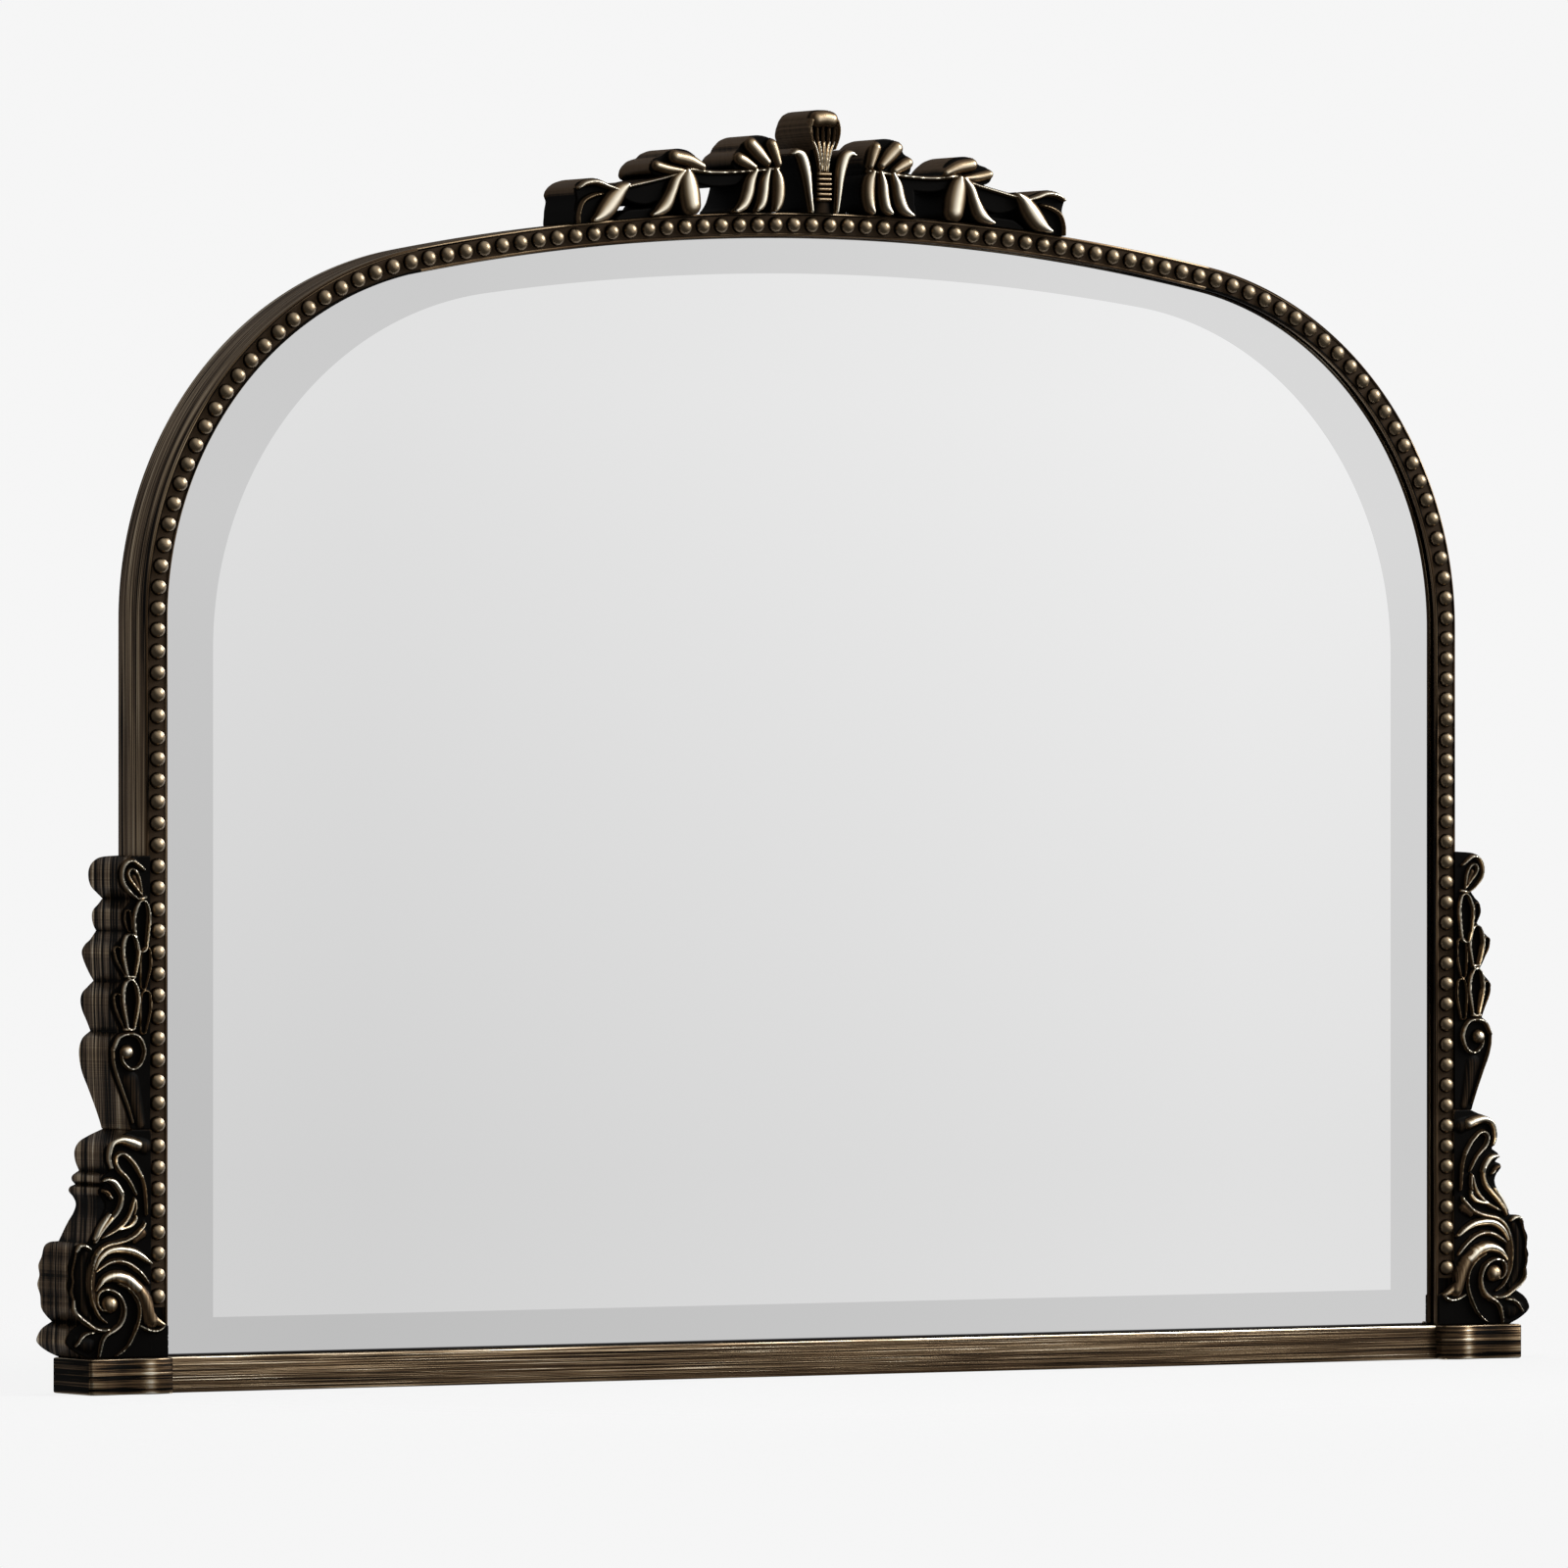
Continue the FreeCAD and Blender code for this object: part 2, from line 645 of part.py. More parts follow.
low_batten = doc.addObject("Part::Box", "low_batten")
bind(low_batten, "Length", f"2 * ({WALL} - batten_width)")
bind(low_batten, "Width", "batten_thickness")
bind(low_batten, "Height", "bottom_batten_height")
place(low_batten, f"batten_width - {WALL}", BOARD_BACK, FLOOR)

# Strap hangers: a strap curled round the bar of a D ring, screwed to each side batten.
HANGER_X = f"({WALL} - batten_width / 2)"
HANGER_Z = "(spring_height - hanger_drop)"
CURL_IN = "(ring_wire / 2 + curl_play)"
CURL_OUT = f"({CURL_IN} + strap_thickness)"
END_COS = "cos(curl_end_angle * 1 deg)"
END_SIN = "sin(curl_end_angle * 1 deg)"
body = new_body("strap")
strap_corners = [
    ("0", "-strap_length"),
    ("strap_thickness", "-strap_length"),
    ("strap_thickness", "0", CURL_IN, -1),
    (CURL_OUT, CURL_IN, CURL_IN, -1),
    (f"{CURL_OUT} + {CURL_IN}", "0", CURL_IN, -1),
    (f"{CURL_OUT} + {CURL_IN} * {END_COS}", f"-{CURL_IN} * {END_SIN}"),
    (f"{CURL_OUT} + {CURL_OUT} * {END_COS}", f"-{CURL_OUT} * {END_SIN}", CURL_OUT, 1),
    (f"2 * {CURL_OUT}", "0", CURL_OUT, 1),
    (CURL_OUT, CURL_OUT, CURL_OUT, 1),
    ("0", "0"),
]
pad(body, profile(body, "strap_side", "YZ_Plane", strap_corners), "strap_width", symmetric=True)
holes = body.newObject("Sketcher::SketchObject", "strap_holes")
holes.AttachmentSupport = (origin_plane(body, "XZ_Plane"), [""])
holes.MapMode = "FlatFace"
HOLE = "(screw_diameter / 2 + strap_hole_play)"
hole_heights = ["strap_end - strap_length", "strap_end + strap_hole_spacing - strap_length"]
for index, height in enumerate(hole_heights):
    holes.addGeometry(Part.Circle(V(0, value(height), 0), V(0, 0, 1), value(HOLE)), False)
    holes.addConstraint(Sketcher.Constraint("PointOnObject", index, 3, -2))
    rule = holes.addConstraint(Sketcher.Constraint("DistanceY", -1, 1, index, 3, value(height)))
    bind(holes, f"Constraints[{rule}]", height)
    rule = holes.addConstraint(Sketcher.Constraint("Radius", index, value(HOLE)))
    bind(holes, f"Constraints[{rule}]", HOLE)
doc.recompute()
solid_before = body.Shape.Volume
drill = body.newObject("PartDesign::Pocket", "strap_drill")
drill.Profile = (holes, [""])
drill.Type = "ThroughAll"
drill.SideType = "Symmetric"
place(body, HANGER_X, BATTEN_BACK, HANGER_Z)
doc.recompute()
if body.Shape.Volume >= solid_before:
    raise RuntimeError("the strap's holes cut nothing")
mirrored(node(body, "right_hanger_strap"), "left_hanger_strap")

body = new_body("ring")
RING_HALF = "(ring_inner_width / 2 + ring_wire / 2)"
RING_LEG = f"(ring_reach - {RING_HALF})"
path_corners = [
    (f"ring_corner - {RING_HALF}", "0"),
    (f"{RING_HALF} - ring_corner", "0", "ring_corner", -1),
    (RING_HALF, "-ring_corner"),
    (RING_HALF, f"-{RING_LEG}", RING_HALF, -1),
    ("0", f"-ring_reach", RING_HALF, -1),
    (f"-{RING_HALF}", f"-{RING_LEG}"),
    (f"-{RING_HALF}", "-ring_corner", "ring_corner", -1),
]
ring_path = profile(body, "ring_path", "XZ_Plane", path_corners)
wire = body.newObject("Sketcher::SketchObject", "ring_section")
wire.AttachmentSupport = (origin_plane(body, "YZ_Plane"), [""])
wire.MapMode = "FlatFace"
wire.addGeometry(Part.Circle(V(0, 0, 0), V(0, 0, 1), value("ring_wire / 2")), False)
wire.addConstraint(Sketcher.Constraint("Coincident", 0, 3, -1, 1))
rule = wire.addConstraint(Sketcher.Constraint("Radius", 0, value("ring_wire / 2")))
bind(wire, f"Constraints[{rule}]", "ring_wire / 2")
doc.recompute()
pipe = body.newObject("PartDesign::AdditivePipe", "ring_pipe")
pipe.Profile = (wire, [""])
pipe.Spine = (ring_path, [f"Edge{index + 1}" for index in range(len(path_corners))])
pipe.Mode = "Standard"
pipe.Transition = "Transformed"
place(body, HANGER_X, f"{BATTEN_BACK} + {CURL_OUT}", HANGER_Z)
doc.recompute()
mirrored(node(body, "right_hanger_ring"), "left_hanger_ring")


def pan_head(extra, spot):
    """Pan-head screw driven forwards, its head bearing on the strap at a spot."""
    head = value("screw_head_diameter") / 2
    shank = value("screw_diameter") / 2 + extra
    tall = value("hanger_head_height")
    reach = value("hanger_screw_length") + extra
    corners = [V(0, 0, -tall), V(head * math.cos(math.pi / 4), 0, -tall), V(head, 0, -tall / 2), V(head, 0, 0),
               V(shank, 0, 0), V(shank, 0, reach - shank), V(0, 0, reach)]
    form = Part.Face(Part.makePolygon(corners + corners[:1])).revolve(V(0, 0, 0), V(0, 0, 1), 360)
    form.Placement = FreeCAD.Placement(spot, FreeCAD.Rotation(V(0, 0, 1), V(0, -1, 0)))
    return form


def hanger_screws(extra):
    seat = value(BATTEN_BACK) + value("strap_thickness")
    heights = [value(HANGER_Z) + value(height) for height in hole_heights]
    return both_sides([pan_head(extra, V(value(HANGER_X), seat, height)) for height in heights])


node(solid_of(Part.makeCompound(hanger_screws(0)), "hanger_screw_group"), "hanger_screws")
batten_bores = solid_of(Part.makeCompound(batten_screws(play) + hanger_screws(play)), "batten_bores")
mirrored(cut_by(side_batten, batten_bores, "right_batten"), "left_batten")
cut_by(low_batten, batten_bores, "bottom_batten")


# Carved ornament. A leaf is a loft through sections along a spine: flat sides and a rounded front.
section_count = 7


def leaf(spine, back, edge, ridge, blunt=False):
    """Leaf whose spine gives x, z and half width at a few places, with a round end if it is blunt."""
    curve = Part.BSplineCurve()
    curve.interpolate([V(x, wide, z) for x, z, wide in spine])
    rise = edge - ridge
    sections = []
    start, end = curve.FirstParameter, curve.LastParameter
    for index in range(section_count):
        param = start + (end - start) * index / (section_count - 1)
        spot = curve.value(param)
        way = curve.tangent(param)[0]
        across = V(-way.z, 0, way.x).normalize() * spot.y
        here = V(spot.x, 0, spot.z)
        depth = V(0, 1, 0)
        crown = edge - min(rise, spot.y)
        first, last = here + across + depth * edge, here - across + depth * edge
        low_first, low_last = here + across + depth * back, here - across + depth * back
        sections.append(Part.Wire([
            Part.LineSegment(low_first, low_last).toShape(),
            Part.LineSegment(low_last, last).toShape(),
            Part.Arc(last, here + depth * crown, first).toShape(),
            Part.LineSegment(first, low_first).toShape(),
        ]))
    blade = Part.makeLoft(sections, True, False)
    if not blunt:
        return [blade]
    tip = curve.value(end)
    knuckle = Part.makeCylinder(tip.y, back - edge, V(tip.x, edge, tip.z), V(0, 1, 0))
    return [blade, knuckle, Part.makeSphere(tip.y, V(tip.x, edge, tip.z))]


def slab(runs, back, front):
    """Plate between two depths, its outline made of smooth runs that meet at corners."""
    edges = []
    for run in runs:
        if len(run) == 2:
            edges.append(Part.LineSegment(V(run[0][0], back, run[0][1]), V(run[1][0], back, run[1][1])).toShape())
        else:
            curve = Part.BSplineCurve()
            curve.interpolate([V(x, back, z) for x, z in run])
            edges.append(curve.toShape())
    return Part.Face(Part.Wire(edges)).extrude(V(0, front - back, 0))


def joined(shapes, name):
    whole = shapes[0].multiFuse(shapes[1:])
    if not whole.isValid() or len(whole.Solids) != 1:
        raise RuntimeError(f"{name}: {len(whole.Solids)} solids")
    return whole.Solids[0]


ornament_back = back_y - value("ornament_back_gap")
crest_edge = face_y - value("crest_edge_proud")
crest_ridge = face_y - value("crest_proud")
crest_long = value("crest_half_length")
crest_tall = value("crest_height")
outer_radius = crown_radius + value("face_width")


def frame_top(x):
    """Height of the frame's outer edge over a place along the crest."""
    return crown_centre + math.sqrt(outer_radius ** 2 - x ** 2)


def crest_leaf(shares, blunt=False):
    """Leaf of the crest: place along it, height over the frame and half width, as shares."""
    spine = []
    for along, up, wide in shares:
        x = along * crest_long
        spine.append((x, frame_top(x) + up * crest_tall, wide * crest_tall))
    return leaf(spine, ornament_back, crest_edge, crest_ridge, blunt)


def crest_body(shares):
    """Body behind a spray of leaves: a smooth outline closed by a straight foot."""
    line = [(along * crest_long, frame_top(along * crest_long) + up * crest_tall) for along, up in shares]
    return slab([line, [line[-1], line[0]]], ornament_back, crest_edge + value("relief_sink"))


arch_zone = Part.makeCylinder(outer_radius, 2 * value("frame_depth") + 2 * overrun,
                              V(0, -value("frame_depth") - overrun, crown_centre), V(0, 1, 0))
screw_zone = Part.makeCompound(ornament_screws(play))

fan_shares = ((0, 0.405, 0.074), (0, 0.54, 0.092), (0, 0.7, 0.138), (0, 0.83, 0.156), (0, 0.94, 0.14), (0, 1.0, 0.09))
flare_shares = ((0, 0.15, 0.1), (0, 0.07, 0.12), (0, -0.05, 0.16))
c_leaf_shares = ((0.134, 0.577, 0.016), (0.114, 0.595, 0.034), (0.09, 0.566, 0.05), (0.075, 0.46, 0.05),
                 (0.066, 0.3, 0.041), (0.061, 0.16, 0.032), (0.057, -0.04, 0.03))
stalk_shares = (0.12, 0.43)
stalk_half_share = 0.081
rib_count = 6
palmette = crest_leaf(fan_shares) + crest_leaf(flare_shares) + both_sides(crest_leaf(c_leaf_shares))
stalk_low, stalk_high = (frame_top(0) + share * crest_tall for share in stalk_shares)
stalk_half = stalk_half_share * crest_tall
palmette.append(Part.makeBox(2 * stalk_half, ornament_back - crest_edge, stalk_high - stalk_low,
                             V(-stalk_half, crest_edge, stalk_low)))
rib_pitch = (stalk_high - stalk_low) / rib_count
for index in range(rib_count):
    middle = V(0, crest_edge, stalk_low + (index + 1 / 2) * rib_pitch)
    palmette.append(rod(middle, V(1, 0, 0), rib_pitch / 2, 2 * stalk_half))
whole = joined(palmette, "crest_palmette").cut(arch_zone).cut(screw_zone)
node(solid_of(whole, "palmette_form"), "crest_palmette")

body_shares = (
    ((0.175, 0.392), (0.172, 0.514), (0.189, 0.635), (0.223, 0.684), (0.282, 0.695), (0.32, 0.657),
     (0.34, 0.586), (0.366, 0.535), (0.364, 0.468), (0.34, 0.414), (0.291, 0.392)),
    ((0.481, 0.405), (0.505, 0.514), (0.553, 0.584), (0.602, 0.614), (0.631, 0.576), (0.641, 0.527),
     (0.682, 0.53), (0.697, 0.486), (0.68, 0.443), (0.621, 0.392)),
    ((0.82, 0.291), (0.869, 0.365), (0.917, 0.414), (0.971, 0.411), (0.997, 0.351), (0.99, 0.243),
     (0.997, 0.108), (0.99, -0.041), (0.903, -0.041)),
)
blunt_leaf_shares = (
    ((0.189, 0.446, 0.043), (0.204, 0.554, 0.059), (0.216, 0.622, 0.059)),
    ((0.233, 0.459, 0.043), (0.272, 0.554, 0.068), (0.303, 0.63, 0.068)),
    ((0.291, 0.426, 0.038), (0.323, 0.481, 0.059), (0.347, 0.527, 0.058)),
    ((0.5, 0.453, 0.041), (0.553, 0.505, 0.065), (0.609, 0.551, 0.065)),
    ((0.563, 0.426, 0.032), (0.631, 0.451, 0.046), (0.682, 0.486, 0.046)),
)
garland_shares = (
    ((0.184, 0.424, 0.041), (0.282, 0.405, 0.032), (0.437, 0.396, 0.024), (0.544, 0.441, 0.041)),
    ((0.544, 0.441, 0.034), (0.631, 0.376, 0.024), (0.777, 0.315, 0.024), (0.84, 0.297, 0.03)),
    ((0.194, 0.432, 0.024), (0.177, 0.23, 0.086), (0.18, -0.041, 0.062)),
    ((0.221, 0.432, 0.02), (0.252, 0.216, 0.059), (0.262, -0.041, 0.059)),
    ((0.279, 0.419, 0.02), (0.318, 0.216, 0.065), (0.35, -0.041, 0.054)),
    ((0.549, 0.432, 0.027), (0.541, 0.23, 0.122), (0.522, -0.041, 0.068)),
    ((0.568, 0.424, 0.02), (0.621, 0.27, 0.062), (0.643, 0.108, 0.068), (0.672, -0.041, 0.068)),
    ((0.791, 0.322, 0.022), (0.845, 0.23, 0.084), (0.883, 0.108, 0.095), (0.922, -0.041, 0.054)),
    ((0.825, 0.304, 0.027), (0.913, 0.376, 0.041), (0.988, 0.351, 0.024)),
    ((0.883, 0.257, 0.022), (0.951, 0.216, 0.03), (0.988, -0.041, 0.024)),
)
garland = [crest_body(shares) for shares in body_shares]
garland += [form for shares in blunt_leaf_shares for form in crest_leaf(shares, True)]
garland += [form for shares in garland_shares for form in crest_leaf(shares)]
whole = joined(garland, "garland").cut(arch_zone).cut(screw_zone)
mirrored(node(solid_of(whole, "garland_form"), "crest_right_garland"), "crest_left_garland")

# Side ornament: everything that would stand inside the stile is cut away.
relief_floor = face_y - value("relief_floor_proud")
relief_ridge = face_y - value("relief_proud")
relief_root = relief_floor + value("relief_sink")
stile_zone = Part.makeBox(value("face_width") + overrun, back_y - face_y + overrun, spring,
                          V(half - overrun, face_y, 0))
bead_zone = Part.makeBox(value("face_width - rim_width") + overrun, 2 * value("frame_depth"), spring,
                         V(half - overrun, -value("frame_depth"), 0))


def side_leaf(shares, wide, tall, foot, back):
    """Leaf of a side ornament, its shares counted from the stile's side and the ornament's foot."""
    spine = [(outer + x * wide, foot + z * tall, span * wide) for x, z, span in shares]
    return leaf(spine, back, relief_floor, relief_ridge)[0]


def scaled(runs, wide, tall, foot):
    return [[(outer + x * wide, foot + z * tall) for x, z in run] for run in runs]


pendant_wide = value("pendant_width")
pendant_tall = value("pendant_height")
drop_shares = (
    ((0, 0), (0.412, 0)),
    ((0.412, 0), (0.481, 0.037), (0.6, 0.089), (0.756, 0.152), (0.913, 0.215), (0.975, 0.283),
     (0.897, 0.33), (0.694, 0.359)),
    ((0.694, 0.359), (0.787, 0.395), (0.897, 0.435), (0.937, 0.469), (0.897, 0.497), (0.756, 0.521),
     (0.616, 0.542)),
    ((0.616, 0.542), (0.725, 0.571), (0.85, 0.613), (0.906, 0.647), (0.835, 0.673), (0.694, 0.694),
     (0.553, 0.725)),
    ((0.553, 0.725), (0.625, 0.749), (0.656, 0.777), (0.625, 0.801), (0.507, 0.821), (0.397, 0.843)),
    ((0.397, 0.843), (0.537, 0.864), (0.678, 0.887), (0.74, 0.919), (0.725, 0.953), (0.616, 0.979),
     (0.412, 0.995), (0, 1.0)),
    ((0, 1.0), (0, 0)),
)
pendant_shares = (
    ((-0.131, 0.93, 0.263), (0.316, 0.932, 0.298), (0.535, 0.93, 0.263), (0.684, 0.925, 0.105)),
    ((0.22, 0.66, 0.105), (0.203, 0.76, 0.201), (0.159, 0.84, 0.088)),
    ((0.238, 0.71, 0.052), (0.5, 0.76, 0.079), (0.561, 0.8, 0.044)),
    ((0.325, 0.55, 0.105), (0.465, 0.64, 0.201), (0.5, 0.712, 0.088)),
    ((0.369, 0.55, 0.052), (0.658, 0.618, 0.096), (0.815, 0.665, 0.044)),
    ((0.106, 0.52, 0.061), (0.106, 0.62, 0.114), (0.018, 0.675, 0.061)),
    ((0.413, 0.36, 0.105), (0.465, 0.47, 0.21), (0.465, 0.55, 0.088)),
    ((0.456, 0.36, 0.052), (0.684, 0.45, 0.105), (0.815, 0.503, 0.052)),
    ((0.124, 0.37, 0.061), (0.115, 0.46, 0.123), (0.018, 0.513, 0.061)),
)
volute_place_shares = (0.484, 0.283)
rim_radius_share = 0.35
rim_half_share = 0.053
eye_place_shares = (0.553, 0.283)
eye_radius_share = 0.175
forms = [slab(scaled(drop_shares, pendant_wide, pendant_tall, pendant_foot), ornament_back, relief_floor)]
forms += [side_leaf(shares, pendant_wide, pendant_tall, pendant_foot, relief_root) for shares in pendant_shares]
volute = V(outer + volute_place_shares[0] * pendant_wide, relief_floor,
           pendant_foot + volute_place_shares[1] * pendant_tall)
forms.append(Part.makeTorus(rim_radius_share * pendant_wide, rim_half_share * pendant_wide, volute, V(0, 1, 0)))
eye = V(outer + eye_place_shares[0] * pendant_wide, relief_floor,
        pendant_foot + eye_place_shares[1] * pendant_tall)
forms.append(Part.makeSphere(eye_radius_share * pendant_wide, eye))
foot_zone = Part.makeBox(2 * pendant_wide, 2 * value("frame_depth"), pendant_foot,
                         V(outer - pendant_wide / 2, -value("frame_depth"), 0))
whole = joined(forms, "pendant").cut(stile_zone).cut(bead_zone).cut(foot_zone).cut(screw_zone)
mirrored(node(solid_of(whole, "pendant_form"), "right_pendant"), "left_pendant")

acanthus_wide = value("acanthus_width")
acanthus_tall = value("acanthus_height")
scroll_shares = (
    ((0, 0), (0.726, 0)),
    ((0.726, 0), (0.864, 0.026), (0.965, 0.055), (0.996, 0.082), (0.934, 0.126), (0.811, 0.157)),
    ((0.811, 0.157), (0.883, 0.186), (0.938, 0.22), (0.951, 0.274), (0.984, 0.321), (0.96, 0.362),
     (0.972, 0.406), (0.933, 0.443), (0.902, 0.487), (0.834, 0.506), (0.726, 0.509)),
    ((0.726, 0.509), (0.626, 0.585), (0.549, 0.632), (0.519, 0.67), (0.549, 0.701), (0.603, 0.726),
     (0.591, 0.746), (0.526, 0.757)),
    ((0.526, 0.757), (0.566, 0.776), (0.56, 0.796), (0.48, 0.818)),
    ((0.48, 0.818), (0.526, 0.862), (0.534, 0.906), (0.48, 0.943), (0.356, 0.972), (0.188, 1.0)),
    ((0.188, 1.0), (0, 1.0)),
    ((0, 1.0), (0, 0)),
)
ridge_shares = (
    ((0.125, 0.943, 0.038), (0.247, 0.955, 0.047), (0.397, 0.938, 0.047), (0.467, 0.895, 0.038),
     (0.444, 0.845, 0.023)),
    ((0.093, 0.68, 0.031), (0.154, 0.78, 0.062), (0.277, 0.855, 0.077), (0.385, 0.893, 0.046)),
    ((0.369, 0.74, 0.028), (0.339, 0.673, 0.042), (0.462, 0.604, 0.047), (0.669, 0.52, 0.028)),
    ((0.185, 0.704, 0.023), (0.185, 0.648, 0.034), (0.293, 0.591, 0.038), (0.538, 0.535, 0.023)),
    ((0.015, 0.597, 0.023), (0.139, 0.553, 0.038), (0.369, 0.509, 0.046), (0.584, 0.465, 0.046),
     (0.692, 0.396, 0.043), (0.716, 0.314, 0.038), (0.66, 0.22, 0.031), (0.538, 0.157, 0.023)),
    ((0, 0.415, 0.023), (0.123, 0.465, 0.038), (0.339, 0.487, 0.046), (0.566, 0.45, 0.031)),
    ((0, 0.333, 0.019), (0.17, 0.403, 0.031), (0.354, 0.434, 0.034), (0.584, 0.396, 0.028),
     (0.678, 0.384, 0.023)),
    ((0.385, 0.025, 0.023), (0.231, 0.107, 0.031), (0.123, 0.214, 0.038), (0.154, 0.302, 0.043),
     (0.339, 0.365, 0.046), (0.523, 0.362, 0.043), (0.646, 0.314, 0.023)),
    ((0.553, 0.025, 0.023), (0.538, 0.088, 0.031), (0.354, 0.157, 0.038), (0.3, 0.226, 0.036),
     (0.339, 0.283, 0.034), (0.492, 0.311, 0.034), (0.615, 0.277, 0.023)),
    ((0.8, 0.485, 0.023), (0.869, 0.415, 0.038), (0.875, 0.314, 0.038), (0.846, 0.226, 0.038),
     (0.677, 0.145, 0.031), (0.4, 0.151, 0.023)),
    ((0.646, 0.126, 0.023), (0.8, 0.11, 0.031), (0.892, 0.069, 0.023)),
)
scroll_eye_shares = (0.515, 0.236)
scroll_eye_radius_share = 0.1
foot_shares = (((0, 0), (-1, 0)), ((-1, 0), (-1, 0.138)), ((-1, 0.138), (-0.55, 0.163), (0, 0.226)))
forms = [slab(scaled(scroll_shares, acanthus_wide, acanthus_tall, base_top), ornament_back, relief_floor)]
forms += [side_leaf(shares, acanthus_wide, acanthus_tall, base_top, relief_root) for shares in ridge_shares]
eye = V(outer + scroll_eye_shares[0] * acanthus_wide, relief_floor,
        base_top + scroll_eye_shares[1] * acanthus_tall)
forms.append(Part.makeSphere(scroll_eye_radius_share * acanthus_wide, eye))
spur = scaled(foot_shares, value("foot_width"), acanthus_tall, base_top)
inside = (outer + foot_shares[0][0][0] + value("relief_sink"))
spur = [[(inside, spur[0][0][1]), spur[0][1]], spur[1], spur[2], [spur[2][-1], (inside, spur[2][-1][1])],
        [(inside, spur[2][-1][1]), (inside, spur[0][0][1])]]
forms.append(slab(spur, face_y, relief_floor - value("relief_sink")))
block_zone = Part.makeBox(2 * acanthus_wide, 2 * value("frame_depth"), base_top,
                          V(half - overrun, -value("frame_depth"), 0))
whole = joined(forms, "acanthus").cut(stile_zone).cut(block_zone).cut(screw_zone)
mirrored(node(solid_of(whole, "acanthus_form"), "right_acanthus"), "left_acanthus")

doc.recompute()
for obj in doc.Objects:
    if "Invalid" in obj.State or "Error" in obj.State:
        raise RuntimeError(f"{obj.Label} failed: {obj.State}")
for piece in NODES:
    if piece.Shape.isNull() or not piece.Shape.isValid() or not piece.Shape.Solids:
        raise RuntimeError(f"{piece.Label} has no valid solid")
os.makedirs("parts", exist_ok=True)
for piece in NODES:
    piece.Shape.exportStep(f"parts/{piece.Label}.step")
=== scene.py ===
"""Arched overmantel mirror: beaded bronze frame, carved crest and side scrolls, bevelled glass."""
import math

import bmesh
import bpy
import numpy as np
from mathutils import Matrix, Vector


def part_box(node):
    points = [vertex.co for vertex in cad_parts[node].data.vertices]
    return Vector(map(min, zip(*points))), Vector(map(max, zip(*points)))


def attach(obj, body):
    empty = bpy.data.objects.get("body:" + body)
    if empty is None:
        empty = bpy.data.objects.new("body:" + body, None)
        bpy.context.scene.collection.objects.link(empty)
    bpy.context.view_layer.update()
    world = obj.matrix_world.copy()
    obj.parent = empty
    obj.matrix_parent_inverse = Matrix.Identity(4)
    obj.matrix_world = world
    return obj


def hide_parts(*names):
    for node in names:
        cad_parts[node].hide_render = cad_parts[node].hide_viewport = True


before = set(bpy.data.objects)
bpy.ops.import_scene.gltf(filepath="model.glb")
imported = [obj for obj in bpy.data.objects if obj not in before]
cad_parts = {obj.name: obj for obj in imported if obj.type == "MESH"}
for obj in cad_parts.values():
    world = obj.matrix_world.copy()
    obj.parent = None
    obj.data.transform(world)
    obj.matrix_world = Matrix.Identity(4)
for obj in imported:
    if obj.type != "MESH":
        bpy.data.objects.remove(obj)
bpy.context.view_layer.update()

bl_info = {
    "name": "Arched Overmantel Mirror",
    "version": (1, 0, 0),
    "blender": (4, 5, 0),
    "location": "3D View > Sidebar > Mirror",
    "description": "Dresses the frame of an arched mirror with beads, carving, glass and antique bronze",
    "category": "Object",
}

MILLIMETRE = 0.001


def corners(node):
    """Lowest and highest corner of a CAD node as arrays."""
    low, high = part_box(node)
    return np.array(low, float), np.array(high, float)


STILE_LOW, STILE_HIGH = corners("right_stile")
CROWN_LOW, CROWN_HIGH = corners("crown_arch")
RAIL_LOW, RAIL_HIGH = corners("base_rail")
BLOCK_LOW, BLOCK_HIGH = corners("right_plinth_block")
GLASS_LOW, GLASS_HIGH = corners("mirror_glass")
SCROLL_LOW, SCROLL_HIGH = corners("right_acanthus")
DROP_LOW, DROP_HIGH = corners("right_pendant")
CREST_LOW, CREST_HIGH = corners("crest_palmette")
STRIP_LOW, STRIP_HIGH = corners("right_bead_strip")


def length(label, words, default):
    return bpy.props.FloatProperty(name=label, description=words, default=float(default), unit="LENGTH", precision=4)


def colour(label, words, default):
    return bpy.props.FloatVectorProperty(
        name=label, description=words, default=default, size=3, subtype="COLOR", min=0.0, max=1.0)


def amount(label, words, default, top=1.0):
    return bpy.props.FloatProperty(name=label, description=words, default=default, min=0.0, max=top)


